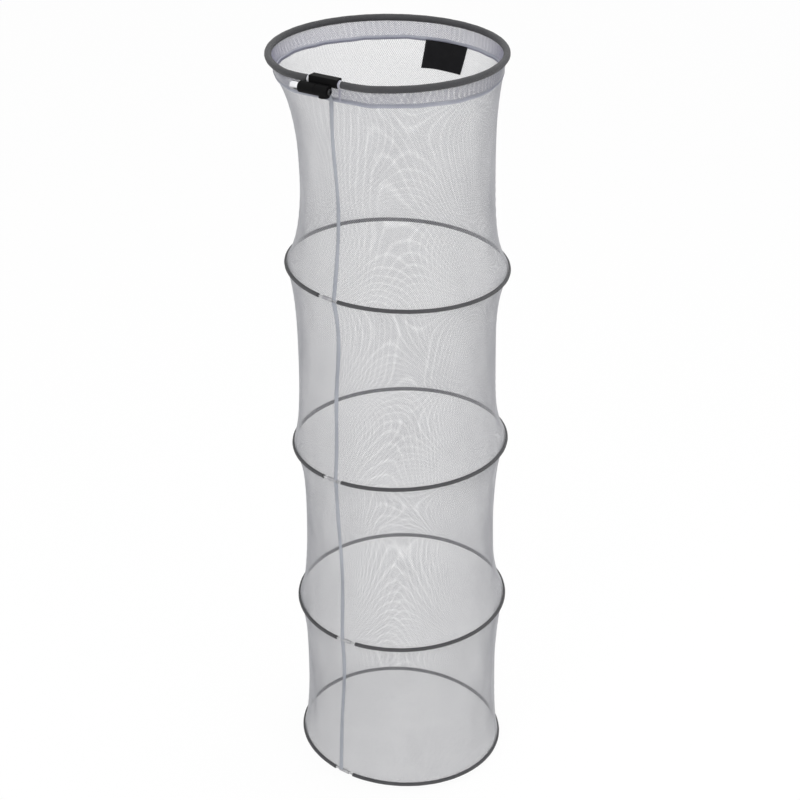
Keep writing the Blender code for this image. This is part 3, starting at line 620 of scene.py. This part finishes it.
def crossing_strands(surface, around, length, pitch, steps, crowding=STEP_CROWDING):
    """Paths of two families at 45 degrees. surface(share, degrees) gives points and outward.

    crowding sets the steps a little closer together at the hoops and at the waist.
    """
    count = round(around / (pitch * math.sqrt(2)))
    share = np.linspace(0, 1, steps + 1)
    share = share - crowding * np.sin(2 * math.tau * share) / 2
    turn_deg = 360 * length / around
    start = 360 * (np.arange(count) + FIRST_STRAND) / count
    made = []
    for family in (1, -1):
        degrees = start[:, None] + family * turn_deg * (share[None, :] - 0.5)
        made.append(surface(np.broadcast_to(share, degrees.shape), degrees))
    return [np.concatenate(pair) for pair in zip(*made)]


print("strand tools ready")

# %% How a section starts, and how a soft piece is baked in place
NET_TOP = 0.0035
BEND_CLEAR = 0.004


def section_points(section, share, from_seam, top_drop=NET_TOP):
    """Points on a section. The first starts under the mouth's sleeve and runs down behind the hem."""
    if section:
        return tube_points(section, share, from_seam)
    start = (HEM_DEPTH - top_drop) / (SECTIONS[0] - top_drop)
    below = np.clip((share - start) / (1 - start), 0, 1)
    points, outward = tube_points(0, below, from_seam)
    behind = np.clip((start - share) / start, 0, 1)[..., None]
    top = mouth_points(seam_degrees(0, 0 * share) + from_seam, -top_drop)
    return points + (top - points) * behind, outward


def bend_with_hoops(piece, section):
    """Bakes a soft piece's place into its mesh. The points above and below its section are found but not
    used.
    """
    if section:
        top = hoop_centre(section - 1) - Vector((0, 0, BEND_CLEAR))
    else:
        top = MOUTH - Vector((0, 0, HEM_DEPTH + BEND_CLEAR))
    bottom = hoop_centre(section) + Vector((0, 0, BEND_CLEAR))
    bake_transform(piece)


# %% The four sections of netting
MESH_PITCH = 0.0024
for section, length in enumerate(SECTIONS):
    around = math.tau * HOOP_RADIUS * (1 + WAIST_SHARES[section]) / 2
    surface = partial(section_points, section)
    path, outward = crossing_strands(surface, around, length, MESH_PITCH, STRAND_STEPS)
    net, twine_length = add_strands(f"netting_{section + 1}", path, outward, net_twine)
    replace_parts(net, f"net_panel_{section + 1}")
    bend_with_hoops(net, section)
    print(net.name, "strands:", len(path), "twine in m:", round(twine_length, 1))

# %% [markdown]
# ## The base
#
# The bottom of the net is a disc of the same twine inside the last hoop. Two straight families of
# strands cross at right angles, each cut to the hoop's width at its place, and the middle hangs a
# few millimetres lower than the rim.

# %% Base netting
BASE_SAG = 0.006
BASE_TURN_DEG = 38.0
BASE_STEPS = 12
BASE_RADIUS = HOOP_RADIUS - HOOP_COVER_RADIUS * 0.6
FIRST_GAP_SHARE = 0.6
LAST_GAP_SHARE = 0.3


def base_paths(pitch, steps):
    paths = []
    offsets = np.arange(-BASE_RADIUS + pitch * FIRST_GAP_SHARE, BASE_RADIUS - pitch * LAST_GAP_SHARE, pitch)
    half = np.sqrt(BASE_RADIUS**2 - offsets**2)
    along = half[:, None] * np.linspace(-1, 1, steps + 1)[None, :]
    for family in (0, 90):
        angle = math.radians(BASE_TURN_DEG + family)
        x = along * math.cos(angle) - offsets[:, None] * math.sin(angle)
        y = along * math.sin(angle) + offsets[:, None] * math.cos(angle)
        z = -BASE_SAG * (1 - (x**2 + y**2) / BASE_RADIUS**2)
        paths.append(np.stack([x, y, z], -1))
    return np.concatenate(paths)


base_path = base_paths(MESH_PITCH, BASE_STEPS) @ np.array(hoop_turn(3)).T + np.array(hoop_centre(3))
base, twine_length = add_strands("base_netting", base_path, hoop_up(3), base_twine)
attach(base, "hoop_5")
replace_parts(base, "base_net")
print("base strands:", len(base_path), "twine in m:", round(twine_length, 1))

# %% [markdown]
# ## Hem
#
# Under the mouth's sleeve the netting is folded back on itself, so a band of it is two layers
# thick and looks denser and more lilac. The second layer is made as the first one is, with a finer
# mesh and a millimetre further in. A flat edge and a row of stitches close the band at its foot.
# They lie on the net, and their height wanders, because the fold was sewn by hand and eye.

# %% Where the hem starts and ends
HEM_INSET = 0.0011
HEM_TUCK = 0.0006
HEM_DROP = 0.0026
# Each wave: how many round the mouth, its height, and where it starts.
HEM_WAVES = (
    (1, 0.0018, 0.25), (2, 0.0008, 2.5), (3, 0.0007, 1.8), (4, 0.0006, 2.7),
    (5, 0.0006, 1.8), (17, 0.0004, 2.2), (31, 0.0002, 0.0),
)
HEAD_HALF_DEG = 11.0
HEAD_EASE_DEG = 1.5
HEAD_CLEAR = 0.0072


def hem_top(degrees):
    """The hem starts inside the sleeve, but under the head block it starts below the block."""
    off_head = (degrees - HEAD_DEG + 180) % 360 - 180
    near = np.clip((HEAD_HALF_DEG + HEAD_EASE_DEG - np.abs(off_head)) / HEAD_EASE_DEG, 0, 1)
    return NET_TOP + (HEAD_CLEAR - NET_TOP) * near


def hem_wave(degrees):
    """How far the hem's foot hangs below its plain line."""
    drop = HEM_DROP + 0 * degrees
    for waves, height, start in HEM_WAVES:
        drop = drop + height * np.sin(waves * np.radians(degrees) + start)
    return drop


def hem_foot(degrees, outward=0.0, above=0.0):
    """Points on the net at the hem's foot, pushed outwards and raised a little."""
    share = (hem_wave(degrees) - above) / (SECTIONS[0] - HEM_DEPTH)
    points, out = net_points(0, share, degrees)
    return points + out * (outward + 0 * degrees)[..., None]


def hem_surface(share, degrees):
    top = mouth_points(degrees, 0.0, -HEM_INSET)
    top[..., 2] -= hem_top(degrees)
    foot = hem_foot(degrees, -HEM_INSET, -HEM_TUCK)
    return top + (foot - top) * share[..., None], round_points(degrees, 1.0)


wander = hem_wave(np.arange(360.0))
print("the hem's foot hangs in mm:", round(1000 * wander.min(), 1), "to", round(1000 * wander.max(), 1))

# %% Hem netting
HEM_PITCH = 0.0020
HEM_STEPS = 5
mouth_round = math.tau * MOUTH_RADIUS
path, outward = crossing_strands(hem_surface, mouth_round, HEM_DEPTH - NET_TOP, HEM_PITCH, HEM_STEPS, 0)
hem, twine_length = add_strands("hem_netting", path, outward, hem_twine)
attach(hem, "mouth")
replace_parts(hem, "hem_band")
print("hem strands:", len(path), "faces:", len(hem.data.polygons))

# %% Flat edge and stitches at the hem's foot
EDGE_RADIUS = 0.0010
EDGE_SPREAD = 3.8
EDGE_RAISE = 0.0027
EDGE_INSET = 0.0004
EDGE_STEPS = 360
EDGE_SIDES = 12
STITCH_STEP = 0.0034
STITCH_HEIGHTS = (0.0, 0.0026, 0.0, -0.0026)
STITCH_LIFTS = (0.0009, 0.0005, 0.0009, 0.0005)


def in_turn(values, steps):
    """Takes a short list of values over and over, one for each step."""
    return np.array(values)[steps % len(values)]


edge_finish = twine_finish("hem edge", (0.355, 0.365, 0.415), (0.265, 0.275, 0.325), 0.0022)
degrees = np.linspace(0, 360, EDGE_STEPS + 1) + HEAD_DEG
path = hem_foot(degrees, -EDGE_INSET, EDGE_RAISE)[None]
outward = round_points(degrees, 1.0)[None]
edge, _ = add_strands("hem_edge", path, outward, edge_finish, EDGE_RADIUS, EDGE_SIDES, EDGE_SPREAD)
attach(edge, "mouth")

stitches = round(mouth_round / STITCH_STEP)
steps = np.arange(4 * stitches + 1)
degrees = steps * 90 / stitches + HEAD_DEG
path = hem_foot(degrees, in_turn(STITCH_LIFTS, steps), EDGE_RAISE + in_turn(STITCH_HEIGHTS, steps))[None]
outward = round_points(degrees, 1.0)[None]
zigzag, _ = add_strands("hem_stitching", path, outward, edge_finish, STITCH_RADIUS)
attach(zigzag, "mouth")
print("stitches round the hem:", stitches)

# %% [markdown]
# ## Seam
#
# The netting is a flat cloth that was rolled into a tube, and one seam closes it from the mouth to
# the base. Both edges are folded together and overlocked, which gives a narrow ridge of blue grey
# thread. It is built as one strip for each section, between the same two hoops as its netting. The
# ridge swells a little at each stitch, and a zigzag thread runs over it.

# %% The ridge's cross-section, and the thread's zigzag
SEAM_TOP = 0.009
SEAM_HALF = 0.0042
SEAM_HEIGHT = 0.0011
SEAM_LIFT = 0.0008
SEAM_STEPS = 120
SEAM_SIDES = 10
SEAM_STITCH = 0.0045
SEAM_SWELL = 0.10
SEAM_UNEVEN = 0.07
SEAM_UNEVEN_PHASE = 23
THREAD_REACHES = (-1.15, 0.0, 1.15, 0.0)
THREAD_LIFTS = (0.0006, 0.0013, 0.0006, 0.0013)
seam_finish = twine_finish("seam thread", (0.385, 0.40, 0.445), (0.295, 0.31, 0.35), 0.0018)


def seam_line(section, share, across):
    """Points on the net at metres across from the seam's middle, and the direction outwards."""
    return section_points(section, share, np.degrees(across / HOOP_RADIUS), SEAM_TOP)


def add_seam_ridge(section):
    share = np.linspace(0.0, 1.0, SEAM_STEPS + 1)
    swell = SEAM_SWELL * np.cos(math.tau * share * SECTIONS[section] / SEAM_STITCH)
    pulse = 1 + swell + SEAM_UNEVEN * np.sin(SEAM_UNEVEN_PHASE * share + section)
    loops = []
    for side in range(SEAM_SIDES):
        angle = math.tau * side / SEAM_SIDES
        points, outward = seam_line(section, share, SEAM_HALF * math.cos(angle) * pulse)
        lift = SEAM_LIFT + SEAM_HEIGHT * 0.5 * (1 + math.sin(angle)) * pulse
        loops.append(points + outward * lift[:, None])
    faces = np.stack(ring_corners(SEAM_STEPS + 1, SEAM_SIDES), -1).reshape(-1, 4).tolist()
    end = np.arange(SEAM_SIDES)
    faces += [end[::-1].tolist(), (SEAM_STEPS * SEAM_SIDES + end).tolist()]
    points = np.stack(loops, 1).reshape(-1, 3)
    ridge = add_mesh_object(f"seam_ridge_{section + 1}", points, faces, seam_finish)
    map_strands(ridge, (share * SECTIONS[section])[None], SEAM_SIDES, SEAM_HALF)
    return ridge


def add_seam_thread(section, stitches):
    steps = np.arange(4 * stitches + 1)
    share = steps / (4 * stitches)
    points, outward = seam_line(section, share, in_turn(THREAD_REACHES, steps) * SEAM_HALF)
    path = points + outward * (SEAM_LIFT + in_turn(THREAD_LIFTS, steps))[:, None]
    name = f"seam_thread_{section + 1}"
    thread, _ = add_strands(name, path[None], outward[None], seam_finish, STITCH_RADIUS)
    return thread


print("seam width in mm:", 2000 * SEAM_HALF)

# %% Seam strips with overlock stitches
for section, length in enumerate(SECTIONS):
    stitches = round(length / SEAM_STITCH)
    ridge = add_seam_ridge(section)
    thread = add_seam_thread(section, stitches)
    for piece in (ridge, thread):
        bend_with_hoops(piece, section)
    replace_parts(ridge, f"seam_{section + 1}")
    print(ridge.name, "stitches:", stitches)

# %% [markdown]
# ## Sleeves on the rings
#
# The mouth's alloy ring and the four sprung hoops each sit in a sleeve of dark woven tape. A CAD
# tube's corners show, and it has no direction for a weave to follow. Each sleeve is therefore swept
# again with many more steps, and it gets a map in metres along and round. The hoops' sleeves are a
# little slimmer here than in the frame, as the photograph shows them. The cloth puckers where it
# goes round the bend, so its radius wanders by a tenth of a millimetre or two. A Solidify modifier
# gives the wall its thickness, which also closes both ends.

# %% The woven sleeve's finish
SLEEVE_MAP = "along_sleeve"
WEAVE_DEPTH = 0.0002


def yarn_crown(place):
    """A rounded height across one yarn: 1 at its middle and 0 at its edges."""
    return 1 - ((place.math("FRACT") - 0.5) * 2).math("POWER", 2.0)


def woven_finish(name, colour, light, strand):
    """A braid: two families of flat yarns that pass over and under each other on the diagonal."""
    made = Finish(name, colour, 0.78)
    along, across = made.along_and_across(SLEEVE_MAP)
    left = (along + across) * (1 / strand)
    right = (along - across) * (1 / strand)
    odd_or_even = ((left.math("FLOOR") + right.math("FLOOR")) * 0.5).math("FRACT")
    on_top = odd_or_even.math("GREATER_THAN", 0.25)
    height = yarn_crown(left) * on_top + yarn_crown(right) * (1 - on_top)
    slow = made.noise(30.0, 3.0)
    quick = made.noise(900.0, 2.0)
    # The yarns' height paints light and shade: each crown is lighter and the dips between yarns darker. The
    # noise adds the tape's own uneven tone.
    shade = (height * 0.55 + slow * 0.5 + quick * 0.25).between(0.35, 1.15)
    made.put("Base Color", made.blend(shade, colour, light))
    made.put("Roughness", 0.9 - height * 0.25)
    made.bump(height + quick * 0.3, WEAVE_DEPTH, 0.9)
    made.put("Sheen Weight", 0.1)
    return made


mouth_weave = woven_finish("mouth sleeve weave", (0.015, 0.015, 0.017), (0.050, 0.050, 0.055), 0.0016)
hoop_weave = woven_finish("hoop sleeve weave", (0.026, 0.026, 0.028), (0.080, 0.080, 0.086), 0.0012)
print("weaves ready")

# %% Sweeping a sleeve round a ring
SLEEVE_WALL = 0.0006


def give_wall(obj, wall):
    """Thickens an open sheet inwards and leaves no modifier on it."""
    bpy.ops.object.select_all(action="DESELECT")
    obj.select_set(True)
    bpy.context.view_layer.objects.active = obj
    bpy.ops.object.mode_set(mode="EDIT")
    bpy.ops.mesh.select_all(action="SELECT")
    bpy.ops.mesh.normals_make_consistent(inside=False)
    bpy.ops.object.mode_set(mode="OBJECT")
    modifier = obj.modifiers.new("wall", "SOLIDIFY")
    modifier.thickness = wall
    modifier.offset = -1
    bpy.ops.object.modifier_apply(modifier=modifier.name)


def sleeve_wander(along, angle):
    """How the puckered cloth moves in and out, from -1 to 1."""
    return np.sin(along * 410 + 2.0 * angle) * 0.4 + np.sin(along * 173 - 3 * angle + 1.3) * 0.6


def add_sleeve(name, line, up, radius, finish, sides, pucker, body, cover):
    """Sweeps a sleeve along a line of points round the rod. up is the ring's own axis."""
    beside, raised = sides_of_path(line, up)
    along = lengths_along(line)
    rows = []
    for side in range(sides):
        angle = math.tau * side / sides
        reach = radius - pucker + pucker * sleeve_wander(along, angle)
        rows.append(line + reach[:, None] * (math.cos(angle) * beside + math.sin(angle) * raised))
    faces = np.stack(ring_corners(len(line), sides), -1).reshape(-1, 4).tolist()
    sleeve = add_mesh_object(name, np.stack(rows, 1).reshape(-1, 3), faces, finish)
    width = math.tau * radius / sides
    start, end = np.repeat(along[:-1], sides), np.repeat(along[1:], sides)
    low = np.tile(np.arange(sides) * width, len(line) - 1)
    high = low + width
    write_map(sleeve, SLEEVE_MAP, np.stack([start, low, start, high, end, high, end, low], -1))
    give_wall(sleeve, SLEEVE_WALL)
    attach(sleeve, body)
    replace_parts(sleeve, cover)


print("sleeve wall in mm:", 1000 * SLEEVE_WALL)

# %% The mouth's sleeve
MOUTH_COVER_RADIUS = 0.00615
MOUTH_COVER_STARTS = (0.0345, 0.0312)
MOUTH_COVER_STEPS = 420
straight = MOUTH_RADIUS - MOUTH_FLAT
right_start, left_start = (math.degrees(math.atan2(start, straight)) for start in MOUTH_COVER_STARTS)
degrees = np.linspace(right_start, 360 - left_start, MOUTH_COVER_STEPS + 1) + HEAD_DEG
upwards = np.array((0, 0, 1.0))
add_sleeve(
    "mouth_sleeve", mouth_points(degrees), upwards, MOUTH_COVER_RADIUS, mouth_weave,
    sides=20, pucker=0.00015, body="mouth", cover="mouth_ring_cover",
)

# %% The hoops' sleeves
HOOP_SLEEVE_RADIUS = 0.0037
HOOP_SLEEVE_STEPS = 360
HOOP_JOIN_DEG = (-94.5, -95.5, -89.5, -92.5)
COVER_OPENING = 0.041
for number, join in enumerate(HOOP_JOIN_DEG):
    half = math.degrees(COVER_OPENING / 2 / hoop_radius(number))
    degrees = np.linspace(join + half, join + 360 - half, HOOP_SLEEVE_STEPS + 1)
    hoop = number + 2
    add_sleeve(
        f"hoop_sleeve_{hoop}", hoop_points(number, degrees), hoop_up(number), HOOP_SLEEVE_RADIUS, hoop_weave,
        sides=14, pucker=0.0001, body=f"hoop_{hoop}", cover=f"ring_{hoop}_cover",
    )

# %% [markdown]
# ## Whipping beside the head
#
# On both sides of the head a few turns of twine bind the ring where its sleeve stops. They are pale
# on the left. On the right, where the seam meets the ring, they are lilac with one pale turn, and
# the ends hang down over the hem. A torus would give closed rings, but a real whipping is one
# thread wound on a slope, so it is swept along a helix.

# %% Whipping
BLOCK = Vector((-0.008, 0.0122, 0.0222))
WHIP_TWINE = 0.00046
WHIP_PITCH = 0.0009
WHIP_REACH = 0.0064
WHIP_STEPS = 24
WHIP_SIDES = 8
lilac_whip = twine_finish("lilac whipping twine", (0.40, 0.395, 0.46), (0.30, 0.295, 0.36), 0.0012)
pale_whip = twine_finish("pale whipping twine", (0.74, 0.74, 0.76), (0.62, 0.62, 0.65), 0.0012)


def add_whipping(name, start, turns, finish):
    """Winds twine round the ring beside the head, from start metres along the ring."""
    turned = np.linspace(0, math.tau * turns, WHIP_STEPS * turns + 1)
    along = start + WHIP_TWINE + WHIP_PITCH * turned / math.tau
    across = BLOCK.y + WHIP_REACH * np.sin(turned)
    helix = np.stack([BLOCK.x + along, across, BLOCK.z + WHIP_REACH * np.cos(turned)], -1)
    outward = np.stack([0 * along, np.sin(turned), np.cos(turned)], -1)
    whipping, _ = add_strands(name, helix[None], outward[None], finish, WHIP_TWINE, WHIP_SIDES)
    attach(whipping, "mouth")
    print(name, "turns:", turns)
    return whipping


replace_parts(add_whipping("seam_whipping", 0.0293, 3, lilac_whip), "seam_wrap")
add_whipping("seam_whipping_end", 0.0324, 1, pale_whip)
add_whipping("left_whipping", -0.0306, 4, pale_whip)

# %% The ends that hang down
TAIL_START = 0.0297
TAIL_RADIUS = 0.0005
TAIL_SIDES = 6
TAIL_POINTS = 16
TAIL_TOP = 0.0045
TAIL_FOOT = 0.0235
TAIL_LONGER = 0.0012
TAIL_FRONT = 0.0022
TAIL_WAVE = 0.0006
# Each end: how far along the ring it hangs, and how far it sways.
TAILS = ((0.0006, 0.0004), (0.0016, -0.0003), (0.0026, 0.0005), (0.0035, -0.0004))
tails = []
for index, (shift, sway) in enumerate(TAILS):
    drop = np.linspace(TAIL_TOP, TAIL_FOOT + TAIL_LONGER * index, TAIL_POINTS)
    x = BLOCK.x + TAIL_START + shift + sway * np.sin(drop * 260)
    y = BLOCK.y - TAIL_FRONT - TAIL_WAVE * np.cos(drop * 190 + index)
    tails.append(np.stack([x, y, BLOCK.z - drop], -1))
forwards = np.array((0, -1.0, 0))
tail, _ = add_strands("whipping_tail", tails, forwards, lilac_whip, TAIL_RADIUS, TAIL_SIDES)
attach(tail, "mouth")
print("whipping tails:", len(tails))

# %% [markdown]
# ## Label
#
# A black woven tab is sewn inside the mouth, across from the head. It carries no words here. It
# lies on the netting and follows its curve, with its lower corners lifting a little. The sheet is a
# grid of points on the tube's own formula, thickened to a folded tape. Its finish has fine crossing
# threads, and is a little paler where the tape is turned in at both ends.

# %% The label's weave
LABEL_MAP = "across_label"
LABEL_WIDTH = 0.0915
WARP_STEP = 0.0009
WEFT_STEP = 0.0006
TURNED_IN = (0.0045, 0.0035)
RIB_DEPTH = 0.00008
label_finish = Finish("black woven label", (0.006, 0.006, 0.007), 0.85)
label_finish.put("Specular IOR Level", 0.15)
across, down = label_finish.along_and_across(LABEL_MAP)
warp = (across * (math.tau / WARP_STEP)).math("SINE")
weft = (down * (math.tau / WEFT_STEP)).math("SINE")
ribs = warp * 0.5 + weft * 0.5
worn = label_finish.noise(60.0, 4.0)
half_width = LABEL_WIDTH / 2
off_middle = (across - half_width).math("ABSOLUTE")
edge_near = off_middle.between(*(half_width - width for width in TURNED_IN))
# The ribs term paints shade: thread tops a little lighter, the dips between threads darker. The noise and
# the paler turned-in ends are the tape's own tone.
tone = (worn * 0.6 + ribs * 0.2 + edge_near * 0.25).between(0.2, 0.95)
label_finish.put("Base Color", label_finish.blend(tone, (0.005, 0.005, 0.006), (0.016, 0.016, 0.018)))
label_finish.put("Roughness", 0.78 + ribs * 0.12)
label_finish.bump(ribs, RIB_DEPTH, 0.8)
print("threads across the label:", round(LABEL_WIDTH / WARP_STEP))

# %% The label on the net
LABEL_HEIGHT = 0.053
LABEL_DEG = 90.0
LABEL_LEAN_DEG = 3.6
LABEL_DROP = 0.003
LABEL_THICKNESS = 0.0008
LABEL_INSET = 0.0016
LABEL_CORNER_LIFT = 0.0018
LABEL_RIPPLE = 0.0006
LABEL_COLUMNS = 40
LABEL_ROWS = 24
half_deg = math.degrees(LABEL_WIDTH / 2 / MOUTH_RADIUS)
u, v = np.meshgrid(np.linspace(0, 1, LABEL_COLUMNS + 1), np.linspace(0, 1, LABEL_ROWS + 1))
share = (LABEL_DROP + LABEL_HEIGHT * v) / SECTIONS[0]
from_seam = LABEL_DEG + LABEL_LEAN_DEG * v + half_deg * (2 * u - 1) - seam_degrees(0, share)
corner_lift = LABEL_CORNER_LIFT * v**2 * (2 * u - 1) ** 2
lift = -LABEL_INSET - corner_lift - LABEL_RIPPLE * v * np.sin(5 * u + 1)
points, outward = tube_points(0, share, from_seam)
points = points + outward * lift[..., None]
first = np.arange(LABEL_ROWS)[:, None] * (LABEL_COLUMNS + 1) + np.arange(LABEL_COLUMNS)[None, :]
quads = np.stack([first, first + 1, first + LABEL_COLUMNS + 2, first + LABEL_COLUMNS + 1], -1).reshape(-1, 4)
label = add_mesh_object("woven_label", points.reshape(-1, 3), quads.tolist(), label_finish)
flat = np.stack([u.ravel() * LABEL_WIDTH, v.ravel() * LABEL_HEIGHT], -1)
write_map(label, LABEL_MAP, flat[corner_points(label)])
give_wall(label, LABEL_THICKNESS)
bend_with_hoops(label, 0)
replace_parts(label, "label_tab")
print("label faces:", len(label.data.polygons))

# %% [markdown]
# ## Head: black nylon and metals
#
# The head's pieces come from the frame, because their shapes are already right. Each one gets a
# finish with its own story. The nylon is moulded with a fine grain, slightly paler where it has
# been rubbed. The metals drift a little in tone. The button is painted bright on top, with painted
# shade on its underside that is darkest, a painted shadow, where it enters the head.


# %% Black nylon, and metals
def nylon_finish(name, colour, rubbed):
    made = Finish(name, colour, 0.42)
    made.put("Specular IOR Level", 0.05)
    slow = made.noise(70.0, 4.0)
    grain = made.noise(1500.0, 3.0)
    scuffs = made.noise(260.0, 5.0, roughness=0.7).between(0.56, 0.72)
    made.put("Base Color", made.blend(slow * 0.35 + scuffs * 0.65, colour, rubbed))
    made.put("Roughness", 0.48 + grain * 0.14 + scuffs * 0.16)
    made.bump(grain, 0.00009, 0.5)
    return made


def metal_finish(name, colour, shade, roughness):
    """Metal with a fine grain, which drifts from shade to colour."""
    made = Finish(name, colour, roughness, 1.0)
    grain = made.noise(900.0, 2.0)
    slow = made.noise(90.0, 3.0)
    made.worn_colour = made.blend(slow.between(0.35, 0.7), colour, shade)
    made.put("Base Color", made.worn_colour)
    made.put("Roughness", roughness + grain * 0.16)
    made.bump(grain, 0.00003, 0.35)
    return made


def paint_shade_below(made, heights, lengths, free_end_shade, head_end_shadow):
    """Paints shade on a metal, darker from the upper height down to the lower, to a shade colour for each of
    its ends.
    """
    # Painted shade: below the upper height the colour falls to painted shade, darkest as a painted shadow
    # towards the head end.
    painted_shade = made.blend(made.place(0).between(*lengths), free_end_shade, head_end_shadow)
    made.put("Base Color", made.blend(made.place(2).between(*heights), painted_shade, made.worn_colour))


nylon = nylon_finish("moulded black nylon", (0.0035, 0.0035, 0.004), (0.010, 0.0098, 0.0092))
brass = metal_finish("turned brass", (0.72, 0.50, 0.20), (0.50, 0.33, 0.12), 0.24)
black_steel = metal_finish("blackened steel", (0.045, 0.045, 0.048), (0.09, 0.088, 0.085), 0.34)
bright_steel = metal_finish("bright steel", (0.62, 0.62, 0.63), (0.45, 0.45, 0.46), 0.20)
polished = metal_finish("polished button", (0.90, 0.90, 0.92), (0.82, 0.82, 0.84), 0.12)
satin = metal_finish("satin ferrule", (0.46, 0.46, 0.47), (0.32, 0.32, 0.34), 0.32)
drawn_alloy = metal_finish("drawn alloy", (0.60, 0.61, 0.63), (0.46, 0.47, 0.50), 0.28)
# Painted shade on the button's underside, with a painted shadow where it enters the head.
paint_shade_below(
    polished, heights=(0.0080, 0.0112), lengths=(-0.0575, -0.0535),
    free_end_shade=(0.30, 0.30, 0.31), head_end_shadow=(0.035, 0.035, 0.038),
)
print("head finishes ready")

# %% Finishes on the frame's own pieces
carried = {
    "head_block": nylon,
    "knuckle": nylon,
    "thread_insert": brass,
    "pivot_bolt": black_steel,
    "ring_screw_left": black_steel,
    "ring_screw_right": black_steel,
    "lock_gear": bright_steel,
    "release_button": polished,
    "mouth_ring_tube": drawn_alloy,
}
for number in range(2, 6):
    carried[f"ring_{number}_wire"] = bright_steel
    carried[f"ring_{number}_ferrule"] = satin
for node, finish in carried.items():
    paint(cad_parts[node], finish)
print("finished frame pieces:", len(carried))

# %% [markdown]
# ## Spring behind the button
#
# A coil spring pushes the release button out. It gets shorter when the button goes in, which a
# rigid piece can't do, so the coil is wound again here. Points on a helix would do, as they did
# for the whipping. A hard wire is plainer by hand: one small circle, wound round an axis by a
# Screw modifier, then closed at both ends.

# %% Winding a wire by hand
WINDING_STEPS = 24
QUARTER_TURN = math.radians(90)
SHARP_DEG = 50


def wind_wire(name, finish, wire, sides, reach, turns, pitch, start, tip=0.0):
    """Winds a wire upwards round Z, tips it over, and moves its first turn to start."""
    bpy.ops.object.select_all(action="DESELECT")
    bpy.ops.mesh.primitive_circle_add(
        vertices=sides, radius=wire, location=(reach, 0, 0), rotation=(QUARTER_TURN, -QUARTER_TURN, 0)
    )
    coil = bpy.context.object
    coil.name = name
    coil.data.name = name
    bpy.ops.object.transform_apply(location=True, rotation=True)
    winding = coil.modifiers.new("winding", "SCREW")
    winding.angle = math.tau * turns
    winding.screw_offset = pitch * turns
    winding.steps = winding.render_steps = round(WINDING_STEPS * turns)
    bpy.ops.object.modifier_apply(modifier=winding.name)
    bpy.ops.object.mode_set(mode="EDIT")
    bpy.ops.mesh.select_all(action="SELECT")
    bpy.ops.mesh.fill_holes(sides=0)
    bpy.ops.mesh.normals_make_consistent(inside=False)
    bpy.ops.object.mode_set(mode="OBJECT")
    bpy.ops.object.shade_smooth_by_angle(angle=math.radians(SHARP_DEG))
    coil.rotation_euler = (0, tip, 0)
    coil.location = start
    bpy.ops.object.transform_apply(location=True, rotation=True)
    paint(coil, finish)
    print(name, "turns:", turns, "faces:", len(coil.data.polygons))
    return coil


# %% The push spring
SPRING_FIXED_END = -0.0218
SPRING_FREE_END = -0.0397
SPRING_WIRE = 0.00045
SPRING_SIDES = 8
SPRING_REACH = 0.0064
SPRING_TURNS = 5
BUTTON_HEIGHT = 0.0108
rest_length = SPRING_FIXED_END - SPRING_FREE_END
spring = wind_wire(
    "push_spring", bright_steel, SPRING_WIRE, SPRING_SIDES, SPRING_REACH, SPRING_TURNS,
    pitch=(rest_length - 3 * SPRING_WIRE) / SPRING_TURNS,
    start=(SPRING_FREE_END + SPRING_WIRE, 0, BUTTON_HEIGHT), tip=QUARTER_TURN,
)
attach(spring, "mouth")
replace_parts(spring, "button_spring")
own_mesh(spring)
print("spring length in mm:", round(1000 * rest_length, 1))

# %% [markdown]
# ## Thread in the brass insert
#
# The bank stick screws into the brass insert from below. The frame's insert has a plain bore, so
# the thread is a ridge wound on the bore's wall in the same way, from a circle with only three
# corners. One corner points at the axis and makes the crest.

# %% The insert's thread
THREAD_PITCH = 0.00127
THREAD_TURNS = 4.6
THREAD_REACH = 0.0042
THREAD_RIDGE = 0.0005
THREAD_START = 0.0006
thread = wind_wire(
    "insert_thread", brass, THREAD_RIDGE, 3, THREAD_REACH, THREAD_TURNS, THREAD_PITCH, (0, 0, THREAD_START)
)
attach(thread, "stick_knuckle")
